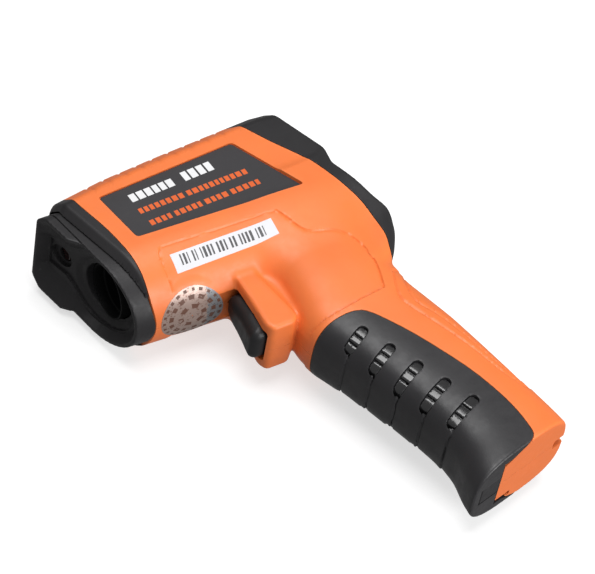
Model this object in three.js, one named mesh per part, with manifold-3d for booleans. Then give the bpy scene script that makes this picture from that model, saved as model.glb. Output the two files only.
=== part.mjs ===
// Infrared thermometer, pistol form, laid on its right side.
// Lengths are millimetres. X runs from the lens to the display, Y runs from the handle's base to the
// top of the barrel, and Z runs from the instrument's right side (below) to its left side (above).
// The drawing's zero is the middle of the hood's front edge; the finished group is then moved so that
// the origin is the bottom centre of its box.
import * as THREE from "three";
import { mergeVertices } from "three/addons/utils/BufferGeometryUtils.js";
import Module from "manifold-3d";

const wasm = await Module();
wasm.setup();

// ---------------------------------------------------------------- driving dimensions
const WALL = 2.2; // thickness of every moulded wall
const GAP = 0.3; // free space between two neighbouring pieces
const FAR = 200; // reach of the cutting solids

// Barrel: a section that runs along X, flat on top and on its sides and round below.
const BARREL = {
  front: 5,
  rear: 110,
  halfWidth: 19.8,
  chamfer: 5.5,
  sideEnd: -27,
  bottomAtFront: -46.1,
  bottomSlope: -0.06,
};

// Height of the barrel's top along its length; it rises towards the display and falls over it.
const TOP_LINE = [[5, 2.2], [14, 3.7], [26, 5.7], [48, 7.8], [73, 9.7], [84, 10.6], [93, 9.8], [110, 8]];

// Handle: sections at fixed heights, as height, front, rear and half width.
const HANDLE_STATIONS = [
  [-34, 60, 98, 16.6],
  [-58, 59.5, 98.6, 16.6],
  [-70, 58, 100.6, 15.8],
  [-78, 59.3, 103.4, 15.2],
  [-88, 63.9, 106.4, 14.8],
  [-100, 68.2, 108.9, 14.5],
  [-113, 72.8, 111.4, 14.2],
  [-125, 76.4, 113.4, 14],
  [-134, 77.3, 115.1, 13.9],
  [-143, 75.2, 116.4, 13.8],
  [-153, 74.6, 117, 13.7],
];
const HANDLE_SQUARENESS = 3.1; // 2 is an ellipse, more is squarer
const RAKE = Math.atan2(14.2, 69.2); // lean of the handle's rear line

// Cutting lines in the side view.
const COLLAR_LINE = [[10.4, 12], [11.2, -1.5], [15.5, -18.4], [17.6, -34], [18, -43.5], [19.3, -47],
  [19.5, -60]];
const BEZEL_LINE = [[72, 13], [77.4, 4.4], [82.9, -5.3], [90.7, -18.1], [95.8, -32], [99.4, -42.2],
  [99.8, -51.4], [98.4, -57.2], [98, -59.6], [112, -61]];
const REAR_PROFILE = [[90.6, 14], [90.6, 5.2], [98.3, -14.8], [97.3, -21.4], [98.6, -25], [103.2, -38.2],
  [106.9, -43.3], [106.4, -48], [104.8, -52], [101.4, -57], [99, -62]];
const CHIN_OUTLINE = [[88, -33], [101.4, -33], [103.2, -38.2, 1], [107, -43.3, 2], [106.5, -48, 2],
  [104.9, -52, 2], [101.5, -57.2, 2], [97, -61.2, 2], [88, -62]];
const CHIN_HALF = 15;
const BASE_FRONT = [75, -148.2];
const BASE_REAR = [115.2, -139];

// Battery door, which is also the black front of the grip.
const HINGE = { x: 80.5, y: -143.4, pinRadius: 1.2, boreRadius: 1.5, earRadius: 3.1, swingRadius: 4.5,
  knuckle: 6.4 };
const PIN_HALF = 8.6; // half of the hinge pin's length
const DOOR_LINE = [[50, -79.4], [56.6, -77.6], [65.6, -76], [74.2, -76.3], [77.6, -78.6], [85.4, -90.3],
  [95.6, -112.3], [99.3, -127], [99.9, -135], [99.2, -141.8], [97, -160]];
const TONGUE = [[83, 7.4], [88.6, 9.2], [96, 12.4], [101, 16]]; // x and half width, seen from below

// Trigger group.
const TRIGGER_HALF = 6.6;
const TRIGGER_OUTLINE = [[45.6, -47.2, 0.8], [44.6, -51.3, 2], [44.4, -58, 4], [43, -63.6, 2],
  [42.9, -65.8, 1.2], [44.8, -67.4, 1.2], [60, -67.4], [60, -47.2]];
const BOSS_OUTLINE = [[47.6, -38], [47.6, -46, 2], [47.4, -56, 6], [46.6, -66.8, 2], [48.4, -69.8, 1.5],
  [56.4, -69.8, 1.5], [59, -67.2, 1.5], [57.7, -58.5, 6], [55.6, -47, 2], [54, -38]];
const BOSS_HALF = 10.9;
const WEB = { front: 52, rear: 72, bottom: -66, top: -38, half: 8.8 }; // joins the boss to the handle
const SWITCH_Y = -63;
const SPRING_Y = -53.5;
const BRACKET_X = 70;

// Front end.
const OPTIC_Y = -26.7;
const LASER_Y = -7.2;
const PLATE_RAKE = Math.atan2(5.7, 19.5);
const PLATE_X = 6.4; // depth of the recess floor at the laser
const LENS_HOLE_RADIUS = 10;
const LASER_HOLE_RADIUS = 2.6;
const COWL_HALF = 17;

// Rear end.
const DISPLAY = { top: [91.6, 2.6], bottom: [97.6, -12.9], halfWidth: 13.5 };
const KEYS = [
  ["button_up", -29.2, 7.2, 4.1],
  ["button_down", -29.2, -7.2, 4.1],
  ["button_mode", -36, 0, 4.6],
]; // name, height, side offset and half width

// Standard nine-volt block battery.
const BATTERY = { length: 48.5, width: 26.5, thickness: 17.5, bottom: [96.8, -131.3], edgeRadius: 2.4 };

// ---------------------------------------------------------------- materials
const finish = (color, roughness, metalness = 0) =>
  new THREE.MeshStandardMaterial({ color, roughness, metalness });
const COLOURS = {
  orange: () => finish(0xf0702e, 0.55),
  black: () => finish(0x262527, 0.5),
  darkGloss: () => finish(0x101214, 0.12),
  label: () => finish(0x3c3b3e, 0.6),
  steel: () => finish(0xb8babd, 0.35, 1),
  brass: () => finish(0xb4924a, 0.4, 1),
  board: () => finish(0x1f6b3a, 0.6),
  glass: () => finish(0x6f7a70, 0.08),
  white: () => finish(0xd9dadb, 0.6),
  battery: () => finish(0x8a8d92, 0.4),
};

// ---------------------------------------------------------------- solids
/** A closed three.js geometry as a solid that can be added, subtracted and intersected. */
function solid(geometry) {
  const bare = geometry.index ? geometry.toNonIndexed() : geometry.clone();
  bare.deleteAttribute("normal");
  bare.deleteAttribute("uv");
  const merged = mergeVertices(bare, 1e-4);
  const build = (triVerts) =>
    new wasm.Manifold(
      new wasm.Mesh({ numProp: 3, vertProperties: merged.attributes.position.array, triVerts }),
    );
  const triangles = new Uint32Array(merged.index.array);
  const made = build(triangles);
  return made.volume() > 0 ? made : build(triangles.reverse());
}

/** A side-view outline, [x, y] points with an optional corner radius as the third number. */
function outline(points) {
  const shape = new THREE.Shape();
  points.forEach((point, i) => {
    const [x, y, radius = 0] = point;
    const here = new THREE.Vector2(x, y);
    const before = new THREE.Vector2(...points.at(i - 1)).sub(here);
    const after = new THREE.Vector2(...points[(i + 1) % points.length]).sub(here);
    const enter = here.clone().addScaledVector(before.normalize(), radius);
    const leave = here.clone().addScaledVector(after.normalize(), radius);
    if (i === 0) shape.moveTo(enter.x, enter.y);
    else shape.lineTo(enter.x, enter.y);
    if (radius > 0) shape.quadraticCurveTo(x, y, leave.x, leave.y);
  });
  shape.closePath();
  return shape;
}

/** A side-view outline made solid from z = low to z = high. */
function slab(points, low, high, curveSegments = 5) {
  const options = { depth: high - low, bevelEnabled: false, curveSegments };
  const geometry = new THREE.ExtrudeGeometry(outline(points), options);
  geometry.translate(0, 0, low);
  return solid(geometry);
}

/** A body skinned over rings of points that all hold the same number of points. */
function loft(rings) {
  const count = rings[0].length;
  const points = rings.flat();
  const index = [];
  for (let r = 0; r + 1 < rings.length; r++) {
    for (let i = 0; i < count; i++) {
      const a = r * count + i;
      const b = r * count + ((i + 1) % count);
      index.push(a, b, a + count, b, b + count, a + count);
    }
  }
  for (const [ring, start, flip] of [[rings[0], 0, true], [rings.at(-1), points.length - count, false]]) {
    const centre = points.length;
    const middle = ring.reduce((sum, p) => sum.add(p), new THREE.Vector3()).divideScalar(count);
    points.push(middle);
    for (let i = 0; i < count; i++) {
      const pair = [start + i, start + ((i + 1) % count)];
      index.push(centre, ...(flip ? pair.reverse() : pair));
    }
  }
  const geometry = new THREE.BufferGeometry().setFromPoints(points);
  geometry.setIndex(index);
  return solid(geometry);
}

/** A side-view outline made solid with rounded rims: towards each end it shrinks about its middle. */
function pillow(points, halfWidth, rim, shrink) {
  const flat = outline(points).getPoints(4);
  if (flat[0].distanceTo(flat.at(-1)) < 1e-6) flat.pop();
  const middle = flat.reduce((sum, p) => sum.add(p), new THREE.Vector2()).divideScalar(flat.length);
  const ring = (z, share) =>
    flat.map((p) => new THREE.Vector3(...p.clone().lerp(middle, share * shrink).toArray(), z));
  const stations = [[halfWidth, 1], [halfWidth - 0.3 * rim, 0.4], [halfWidth - rim, 0]];
  const right = stations.map(([z, share]) => ring(-z, share));
  const left = stations.map(([z, share]) => ring(z, share)).reverse();
  return loft([...right, ...left]);
}

/** A turned body: the profile is [radius, distance] pairs, closed on the axis, turned about X at (y, z). */
function turned(profile, y, z, segments = 28) {
  const geometry = new THREE.LatheGeometry(profile.map(([r, x]) => new THREE.Vector2(r, x)), segments);
  geometry.rotateZ(-Math.PI / 2);
  geometry.translate(0, y, z);
  return solid(geometry);
}

/** A plain rod along X from x = low to x = high. */
const rodX = (radius, low, high, y, z, segments = 20) =>
  turned([[0, low], [radius, low], [radius, high], [0, high]], y, z, segments);

/** A plain rod along Z from z = low to z = high. */
function rodZ(radius, x, y, low, high, segments = 20) {
  const geometry = new THREE.CylinderGeometry(radius, radius, high - low, segments);
  geometry.rotateX(Math.PI / 2);
  geometry.translate(x, y, (low + high) / 2);
  return solid(geometry);
}

/** A block between two corners. */
function block([x0, y0, z0], [x1, y1, z1]) {
  const geometry = new THREE.BoxGeometry(x1 - x0, y1 - y0, z1 - z0);
  geometry.translate((x0 + x1) / 2, (y0 + y1) / 2, (z0 + z1) / 2);
  return solid(geometry);
}

/** Turns a solid drawn round the origin by an angle about Z, then moves it. */
const placed = (body, angle, x, y, z = 0) =>
  body.rotate([0, 0, THREE.MathUtils.radToDeg(angle)]).translate([x, y, z]);

/** Everything on the front side of a side-view line, moved back by a shift along X. */
function before(line, shift = 0) {
  const moved = line.map(([x, y]) => [x + shift, y]);
  return slab([[-FAR, line[0][1]], ...moved, [-FAR, line.at(-1)[1]]], -FAR, FAR);
}

/** Everything behind a side-view line, moved by a shift along X. */
function behind(line, shift = 0) {
  const moved = line.map(([x, y]) => [x + shift, y]);
  return slab([[FAR, line[0][1]], [FAR, line.at(-1)[1]], ...moved.reverse()], -FAR, FAR);
}

// ---------------------------------------------------------------- outer body
/** The height of a line of [x, y] points at a given x. */
function heightAt(line, x) {
  const next = Math.max(1, line.findIndex(([px]) => px >= x));
  const [ax, ay] = line[next - 1];
  const [bx, by] = line[next];
  return ay + ((Math.max(x, ax) - ax) / (bx - ax)) * (by - ay);
}
/** The barrel's crown at a given x: its top, the top of its flat sides, and the chamfer between them. */
function barrelCrown(x) {
  const top = heightAt(TOP_LINE, x);
  return { top, side: top - BARREL.chamfer, chamfer: BARREL.chamfer };
}
/** One ring of the barrel at a given x, drawn in by an inset. */
function barrelRing(x, inset = 0, halfWidth = BARREL.halfWidth, crown = barrelCrown(x)) {
  const bottom = BARREL.bottomAtFront + BARREL.bottomSlope * (x - BARREL.front) + inset;
  const half = halfWidth - inset;
  const chamfer = crown.chamfer - 0.4 * inset;
  const upper = [[half - chamfer, crown.top - inset], [half, crown.side - 0.6 * inset]];
  const lower = [];
  const steps = 7;
  for (let i = 0; i < steps; i++) {
    const angle = (i / steps) * (Math.PI / 2);
    lower.push([half * Math.cos(angle), BARREL.sideEnd + (bottom - BARREL.sideEnd) * Math.sin(angle)]);
  }
  const right = [...upper, ...lower];
  const mirrored = right.map(([z, y]) => [-z, y]).reverse();
  return [...right, [0, bottom], ...mirrored].map(([z, y]) => new THREE.Vector3(x, y, z));
}

const barrel = (inset = 0) =>
  loft(TOP_LINE.map(([x]) => barrelRing(x, inset)));

/** One ring of the handle, a squared ellipse at a fixed height. */
function handleRing([y, front, rear, half], inset) {
  const count = 28;
  const power = 2 / HANDLE_SQUARENESS;
  const ring = [];
  for (let i = 0; i < count; i++) {
    const angle = (i / count) * 2 * Math.PI;
    const swell = (v) => Math.sign(v) * Math.abs(v) ** power;
    const x = (front + rear) / 2 + ((rear - front) / 2 - inset) * swell(Math.cos(angle));
    ring.push(new THREE.Vector3(x, y, (half - inset) * swell(Math.sin(angle))));
  }
  return ring;
}

/** The handle down to its slanted base, drawn in by an inset. */
function handle(inset = 0) {
  const [fx, fy] = BASE_FRONT;
  const [rx, ry] = BASE_REAR;
  const slope = (ry - fy) / (rx - fx);
  const level = (x) => fy + slope * (x - fx) + inset * 1.05;
  const under = slab([[-FAR, -2 * FAR], [FAR, -2 * FAR], [FAR, level(FAR)], [-FAR, level(-FAR)]], -FAR, FAR);
  return loft(HANDLE_STATIONS.map((station) => handleRing(station, inset))).subtract(under);
}

const boss = pillow(BOSS_OUTLINE, BOSS_HALF, 2.4, 0.09)
  .add(block([WEB.front, WEB.bottom, -WEB.half], [WEB.rear, WEB.top, WEB.half]));
/** The rounded rear underside, moved forward and narrowed by an inset. */
function chin(inset = 0) {
  const line = CHIN_OUTLINE.map(([x, y, radius]) => [x - inset, y, radius]);
  return pillow(line, CHIN_HALF - inset, 5, 0.14);
}

const outer = barrel().add(handle()).add(boss).add(chin());
const rearCut = behind(REAR_PROFILE);
const skin = outer.subtract(rearCut);
const hollow = barrel(WALL).add(handle(WALL)).add(chin(WALL + 1)).subtract(behind(REAR_PROFILE, -WALL));

// Room for the trigger, open to the front of the boss.
const triggerRoomHalf = TRIGGER_HALF + GAP;
const triggerRoom = block([38, -67.9, -triggerRoomHalf], [66, -46.6, triggerRoomHalf]);

// ---------------------------------------------------------------- casing halves
const belowNeck = block([-FAR, -FAR, -FAR], [FAR, -75, FAR]);
const doorRegion = before(DOOR_LINE).intersect(belowNeck);
const doorRegionWide = before(DOOR_LINE, GAP)
  .add(before(DOOR_LINE.map(([x, y]) => [x, y + GAP])))
  .intersect(belowNeck);

/** The tongue of the base seen from below, widened by a margin and cut off a rise above the hinge. */
function tongue(margin, rise) {
  const near = TONGUE.map(([x, half]) => [x - margin, half + margin]);
  const far = near.map(([x, half]) => [x, -half]).reverse();
  const geometry = new THREE.ExtrudeGeometry(outline([...near, [130, 20], [130, -20], ...far]), {
    depth: 40,
    bevelEnabled: false,
  });
  geometry.rotateX(Math.PI / 2);
  geometry.translate(0, -124, 0);
  return solid(geometry).intersect(block([60, -160, -20], [130, HINGE.y + rise, 20]));
}

const orangeBody = skin
  .subtract(before(COLLAR_LINE, GAP / 2))
  .subtract(behind(BEZEL_LINE, -GAP / 2));

const knuckle = (margin) => rodZ(HINGE.knuckle + margin, HINGE.x, HINGE.y, -FAR, FAR, 40);
const floorPlate = handle().subtract(handle(WALL + 0.6)).intersect(tongue(0, 3.6)).subtract(knuckle(GAP));
/** The space that the door's two ears need, widened by a margin. */
const doorEarSpace = (side, margin) => {
  const [low, high] = side > 0 ? [4 - margin, 8 + margin] : [-8 - margin, -4 + margin];
  return rodZ(HINGE.earRadius + margin, HINGE.x, HINGE.y, low, high).add(
    block(
      [HINGE.x - 7 - margin, HINGE.y - 3 - margin, low],
      [HINGE.x - 0.5 + margin, HINGE.y + 1.5 + margin, high],
    ),
  );
};
const EAR_HALF = 3.4;
const hingeEar = rodZ(HINGE.earRadius, HINGE.x, HINGE.y, -EAR_HALF, EAR_HALF)
  .add(block([HINGE.x, HINGE.y - 1.6, -EAR_HALF], [HINGE.x + 9, HINGE.y + 1.2, EAR_HALF]))
  .intersect(handle());
const pinBore = rodZ(HINGE.boreRadius, HINGE.x, HINGE.y, -PIN_HALF - GAP, PIN_HALF + GAP);
const strapHole = placed(block([-2.6, -9, -1.7], [2.6, 5, 1.7]), RAKE, 113, -138.5);

// Screw posts, as x and y.
const SCREWS = [[26, -40.5], [88, -38.5], [61.5, -43], [104.5, -136]];
const POST_RADIUS = 3;
const posts = SCREWS.map(([x, y]) => rodZ(POST_RADIUS, x, y, -19, 19, 16)).reduce((a, b) => a.add(b));

const labelOutline = (grow) => [[19.4 - grow, -4.9 + grow, 1.2], [70.6 + grow, -1.6 + grow, 1.2],
  [83 + grow, -25.8 - grow, 1.2], [22.8 - grow, -24.2 - grow, 1.2]];
const LABEL_DEPTH = 0.9;
const labelPocket = (side) => {
  const deep = BARREL.halfWidth - LABEL_DEPTH;
  return side > 0 ? slab(labelOutline(GAP), deep, 30) : slab(labelOutline(GAP), -30, -deep);
};

const shellWalls = orangeBody
  .subtract(hollow)
  .add(posts.intersect(orangeBody))
  .subtract(doorRegionWide)
  .add(floorPlate)
  .add(hingeEar)
  .subtract(triggerRoom)
  .subtract(doorEarSpace(1, GAP))
  .subtract(doorEarSpace(-1, GAP))
  .subtract(pinBore)
  .subtract(strapHole)
  .subtract(labelPocket(1))
  .subtract(labelPocket(-1));

const leftSpace = block([-FAR, -FAR, GAP / 2], [FAR, FAR, FAR]);
const rightSpace = block([-FAR, -FAR, -FAR], [FAR, FAR, -GAP / 2]);
const biggest = (body) => body.decompose().sort((a, b) => b.volume() - a.volume())[0];

let shellLeft = shellWalls.intersect(leftSpace);
let shellRight = shellWalls.intersect(rightSpace);
for (const [x, y] of SCREWS) {
  shellLeft = shellLeft.subtract(rodZ(1.6, x, y, -1, 9, 12));
  shellRight = shellRight.subtract(rodZ(1.8, x, y, -FAR, FAR, 12)).subtract(rodZ(2.9, x, y, -FAR, -11.6, 16));
}
shellLeft = biggest(shellLeft);
shellRight = biggest(shellRight);

// ---------------------------------------------------------------- front collar and cowl
const COWL_CROWN = { top: 0, side: -1.4, chamfer: 3.8 };
const cowlOuter = (inset) => loft([-6, 30].map((x) => barrelRing(x, inset, COWL_HALF, COWL_CROWN)));
const RIM_LINE = [[-2, 12], [0, 0], [3.2, -14.5], [6.5, -17.8], [8.4, -27], [11.2, -40], [15, -60]];
const RIM_DEPTH = RIM_LINE.map(([x, y]) => [-y, x]); // the rim's x by distance below the zero
const plateFace = (shift) => {
  const run = 40;
  const dx = run * Math.tan(PLATE_RAKE);
  return [[PLATE_X + shift - dx, LASER_Y + run], [PLATE_X + shift + 2 * dx, LASER_Y - 2 * run]];
};
/** The hood's inside: it narrows from just within the rim to the keyhole in the recess floor. */
const HOOD_RIM = 1.3; // thickness of the hood at its rim
const funnel = () => {
  const plateAt = (y) => PLATE_X + (LASER_Y - y) * Math.tan(PLATE_RAKE);
  const wide = barrelRing(0, HOOD_RIM, COWL_HALF, COWL_CROWN);
  const narrow = wide.map(({ y, z }) => {
    const share = THREE.MathUtils.clamp((LASER_Y - 3.5 - y) / 12, 0, 1);
    const low = THREE.MathUtils.clamp(y, OPTIC_Y - 13.4, LASER_Y + 4);
    return new THREE.Vector3(plateAt(low), low, z * THREE.MathUtils.lerp(0.4, 0.88, share));
  });
  const mouth = wide.map(({ y, z }) => new THREE.Vector3(heightAt(RIM_DEPTH, -y), y, z));
  const out = wide.map(({ y, z }) => new THREE.Vector3(-20, y, z));
  return loft([out, mouth, narrow]);
};
const keyhole = () => {
  const lensHalf = 13.6;
  const laserHalf = 6.2;
  const top = LASER_Y + 4.4;
  const shape = new THREE.Shape();
  shape.moveTo(laserHalf, top - 2);
  shape.quadraticCurveTo(laserHalf, top, laserHalf - 2, top);
  shape.lineTo(2 - laserHalf, top);
  shape.quadraticCurveTo(-laserHalf, top, -laserHalf, top - 2);
  shape.lineTo(-laserHalf, LASER_Y - 4);
  shape.lineTo(-lensHalf, OPTIC_Y + 3);
  shape.absarc(0, OPTIC_Y, lensHalf + 0.4, Math.PI - 0.22, 2 * Math.PI + 0.22, false);
  shape.lineTo(laserHalf, LASER_Y - 4);
  shape.closePath();
  const geometry = new THREE.ExtrudeGeometry(shape, { depth: 60, bevelEnabled: false, curveSegments: 10 });
  geometry.rotateY(-Math.PI / 2);
  geometry.translate(40, 0, 0);
  return solid(geometry);
};
const lensHole = rodX(LENS_HOLE_RADIUS, -20, 40, OPTIC_Y, 0, 36);
const laserHole = rodX(LASER_HOLE_RADIUS, -20, 40, LASER_Y, 0, 20);

const frontBody = before(COLLAR_LINE, -GAP / 2);
const cowl = cowlOuter(0)
  .intersect(frontBody)
  .subtract(before(RIM_LINE))
  .subtract(keyhole().intersect(before(plateFace(0))))
  .subtract(funnel())
  .subtract(cowlOuter(WALL).intersect(behind(plateFace(WALL))))
  .subtract(lensHole)
  .subtract(laserHole);

const collarOuter = loft([
  barrelRing(BARREL.front, 0, COWL_HALF + 0.9),
  barrelRing(BARREL.front + 2.6, 0, BARREL.halfWidth),
  barrelRing(30, 0, BARREL.halfWidth),
]);
const collar = collarOuter
  .intersect(frontBody)
  .subtract(before([[4.6, 12], [5.4, -4], [11, -34], [14.4, -52]]))
  .subtract(cowlOuter(-GAP));

// ---------------------------------------------------------------- optics
const tubeProfile = [[9.6, 13.4], [9.6, 38], [6.2, 38], [6.2, 24], [7.6, 24], [7.6, 19], [8.6, 19],
  [8.6, 13.4]];
const lensTube = turned([...tubeProfile, tubeProfile[0]], OPTIC_Y, 0, 36);
const ringProfile = [[7.3, 20.4], [7.3, 23.7], [5.4, 23.7], [5.4, 20.4], [7.3, 20.4]];
const lensRing = turned(ringProfile, OPTIC_Y, 0, 36);
const irLens = turned([[0, 24.2], [4.2, 24.9], [5.9, 25.8], [5.9, 27.2], [0, 27.2]], OPTIC_Y, 0, 32);
const holderProfile = [[9.4, 38.4], [9.4, 41.4], [4.9, 41.4], [4.9, 38.4], [9.4, 38.4]];
const sensorHolder = turned(holderProfile, OPTIC_Y, 0);
const canProfile = [[0, 37], [4.5, 37], [4.5, 41.8], [5.5, 41.8], [5.5, 42.8], [0, 42.8]];
const thermopile = turned(canProfile, OPTIC_Y, 0);
const laserProfile = [[0, 10.2], [2.2, 10.2], [2.2, 12], [3.3, 12], [3.3, 25], [0, 25]];
const laserModule = turned(laserProfile, LASER_Y, 0, 24);
const laserWindow = rodX(LASER_HOLE_RADIUS - GAP, 7.9, 9.5, LASER_Y, 0, 20);

// ---------------------------------------------------------------- rear bezel
const bezelBody = skin.intersect(behind(BEZEL_LINE, GAP / 2)).subtract(hollow);
const [dtx, dty] = DISPLAY.top;
const [dbx, dby] = DISPLAY.bottom;
const displayTilt = Math.atan2(dbx - dtx, dty - dby);
const displayHeight = Math.hypot(dbx - dtx, dty - dby);
/** A block centred on the display face: half width across, height, and depth range behind the face. */
function onDisplay(halfAcross, height, near, far) {
  const body = block([-far, -height / 2, -halfAcross], [-near, height / 2, halfAcross]);
  return placed(body, displayTilt, (dtx + dbx) / 2, (dty + dby) / 2);
}
const faceX = (y) => {
  const [ax, ay] = REAR_PROFILE[4];
  const [bx, by] = REAR_PROFILE[5];
  return ax + ((y - ay) / (by - ay)) * (bx - ax);
};
const keyTilt = Math.atan2(REAR_PROFILE[5][0] - REAR_PROFILE[4][0], REAR_PROFILE[4][1] - REAR_PROFILE[5][1]);
/** A key cap or the hole it slides in: an oval on the key face. */
function onKeys([, y, z, halfWide], grow, near, far) {
  const shape = new THREE.Shape();
  shape.absellipse(0, 0, 2.9 + grow, halfWide + grow, 0, 2 * Math.PI, false, 0);
  const options = { depth: far - near, bevelEnabled: false, curveSegments: 12 };
  const geometry = new THREE.ExtrudeGeometry(shape, options);
  geometry.rotateY(-Math.PI / 2);
  geometry.rotateX(Math.PI / 2);
  geometry.translate(-near, 0, 0);
  return placed(solid(geometry), keyTilt, faceX(y), y, z);
}
const keyHoles = KEYS.map((key) => onKeys(key, GAP, -6, 8)).reduce((a, b) => a.add(b));
const bezel = biggest(
  bezelBody
    .subtract(onDisplay(DISPLAY.halfWidth + GAP, displayHeight - 1.4 + 2 * GAP, -8, 3.2))
    .subtract(keyHoles),
);
const lcdWindow = onDisplay(DISPLAY.halfWidth, displayHeight - 1.4, 0.5, 1.9);
const lcdModule = onDisplay(DISPLAY.halfWidth - 0.8, displayHeight - 3, 2.4, 4.4);
const backlight = onDisplay(DISPLAY.halfWidth - 0.8, displayHeight - 3, 4.7, 6.9);

// ---------------------------------------------------------------- boards behind the keys
const keyBoardNear = 4.6;
const keyBoardShape = block([-keyBoardNear - 1.2, -3.6, -11.8], [-keyBoardNear, 10, 11.8]);
const keyBoard = placed(keyBoardShape, keyTilt, faceX(-36), -36);
const mainBoard = block([46, -34, -1.6], [82, -9, 0])
  .subtract(posts)
  .subtract(rodX(11, 30, 44, OPTIC_Y, 0, 12));
const chip = block([56, -27, 0.3], [67, -16, 2]);
const buzzer = rodZ(5.5, 76, -16, 0.3, 4.2, 24);
const buzzerBody = buzzer.subtract(rodZ(1.1, 76, -16, 2.5, 9, 12));

// ---------------------------------------------------------------- trigger group
const trigger = pillow(TRIGGER_OUTLINE, TRIGGER_HALF, 2.4, 0.14);
const bracket = block([BRACKET_X, -70, -9], [BRACKET_X + 1.8, -47.5, 9]);
const switchBody = block([65, SWITCH_Y - 5, -3], [BRACKET_X - GAP, SWITCH_Y + 5, 3])
  .subtract(rodX(1.3, 60, 68.6, SWITCH_Y, 0, 16));
const plungerX = 63.4;
const plunger = rodX(1, plungerX, 67.2, SWITCH_Y, 0, 16);

/** The centre line of a compression spring along X. */
class Helix extends THREE.Curve {
  getPoint(t, target = new THREE.Vector3()) {
    const turns = 5;
    const angle = t * turns * 2 * Math.PI;
    const start = 61;
    const length = BRACKET_X - 1 - start;
    return target.set(start + length * t, SPRING_Y + 2.4 * Math.cos(angle), 2.4 * Math.sin(angle));
  }
}
function coil() {
  const section = new THREE.Shape().absarc(0, 0, 0.4, 0, 2 * Math.PI, false);
  return solid(new THREE.ExtrudeGeometry(section, { steps: 70, curveSegments: 3, extrudePath: new Helix() }));
}

// ---------------------------------------------------------------- battery door
const doorSkin = skin.subtract(hollow).intersect(doorRegion);
const doorFloor = handle().subtract(handle(WALL + 0.4)).intersect(doorRegion);
const batteryFoot = block([84, -160, -10.2], [101, HINGE.y + 14, 10.2]); // stays clear of the battery
let door = doorSkin
  .add(doorFloor)
  .subtract(tongue(0.5, 3.6).add(batteryFoot).subtract(knuckle(0)))
  .subtract(rodZ(HINGE.swingRadius, HINGE.x, HINGE.y, -EAR_HALF - GAP, EAR_HALF + GAP))
  .subtract(block([HINGE.x, -160, -EAR_HALF - GAP], [HINGE.x + 12, HINGE.y + 14, EAR_HALF + GAP]))
  .add(doorEarSpace(1, 0).intersect(handle()))
  .add(doorEarSpace(-1, 0).intersect(handle()))
  .subtract(pinBore);
const SLOT_COUNT = 5;
const SLOT_DEPTH = 0.9;
const slotAt = (i, side) => {
  const share = i / (SLOT_COUNT - 1);
  const inner = new THREE.Vector2(73, -83.6).lerp(new THREE.Vector2(91.1, -122.7), share);
  const tip = new THREE.Vector2(61.7, -89.6).lerp(new THREE.Vector2(75.9, -129.1), share);
  const along = inner.clone().sub(tip).normalize();
  const across = new THREE.Vector2(-along.y, along.x).multiplyScalar(1.9);
  const corner = (base, sign) => [base.x + sign * across.x, base.y + sign * across.y, 1.6];
  const points = [corner(tip, -1), corner(inner, -1), corner(inner, 1), corner(tip, 1)];
  const depth = 13.4 - SLOT_DEPTH;
  return side > 0 ? slab(points, depth, 30) : slab(points, -30, -depth);
};
for (let i = 0; i < SLOT_COUNT; i++) {
  door = door.subtract(slotAt(i, 1)).subtract(slotAt(i, -1));
}
door = biggest(door);
const hingePin = rodZ(HINGE.pinRadius, HINGE.x, HINGE.y, -PIN_HALF, PIN_HALF, 16);

// ---------------------------------------------------------------- battery and its snap
const lean = Math.atan2(14.2, 66);
const [bottomX, bottomY] = BATTERY.bottom;
/** A block with rounded long edges in the battery's own frame, between two heights above its bottom. */
function inHandle(halfAcross, low, high, halfThick) {
  const r = BATTERY.edgeRadius;
  const corners = [[-halfAcross, -halfThick, r], [halfAcross, -halfThick, r], [halfAcross, halfThick, r],
    [-halfAcross, halfThick, r]];
  const options = { depth: high - low, bevelEnabled: false, curveSegments: 3 };
  const geometry = new THREE.ExtrudeGeometry(outline(corners), options);
  geometry.rotateX(-Math.PI / 2);
  geometry.translate(0, low, 0);
  return placed(solid(geometry), lean, bottomX, bottomY);
}
const battery = inHandle(BATTERY.width / 2, 0, BATTERY.length - 3, BATTERY.thickness / 2);
const terminal = (offset, radius) => {
  const stub = new THREE.CylinderGeometry(radius, radius, 3.4, 16);
  stub.translate(offset, BATTERY.length - 3 + 1.5, 0);
  return placed(solid(stub), lean, bottomX, bottomY);
};
const TERMINAL_OFFSET = 6.4;
const batteryWhole = battery.add(terminal(-TERMINAL_OFFSET, 2.6)).add(terminal(TERMINAL_OFFSET, 3.4));
const snapLow = BATTERY.length - 2.6;
const snap = inHandle(12.4, snapLow, snapLow + 4.2, 6.4)
  .subtract(terminal(-TERMINAL_OFFSET, 3))
  .subtract(terminal(TERMINAL_OFFSET, 3.8));

// ---------------------------------------------------------------- labels and stickers
const labelPlate = (side) => {
  const low = BARREL.halfWidth - LABEL_DEPTH + GAP;
  const high = BARREL.halfWidth - 0.1;
  return side > 0 ? slab(labelOutline(-0.1), low, high) : slab(labelOutline(-0.1), -high, -low);
};

// ---------------------------------------------------------------- the scene graph
const instrument = new THREE.Group();
/** Adds a solid to the instrument as one named mesh. */
function piece(name, body, material) {
  const { vertProperties, triVerts, numProp } = body.getMesh();
  const geometry = new THREE.BufferGeometry();
  const position = new Float32Array((vertProperties.length / numProp) * 3);
  for (let i = 0; i * numProp < vertProperties.length; i++) {
    position.set(vertProperties.subarray(i * numProp, i * numProp + 3), i * 3);
  }
  geometry.setAttribute("position", new THREE.BufferAttribute(position, 3));
  geometry.setIndex(new THREE.BufferAttribute(triVerts, 1));
  const mesh = new THREE.Mesh(geometry, material);
  mesh.name = name;
  instrument.add(mesh);
}

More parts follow.
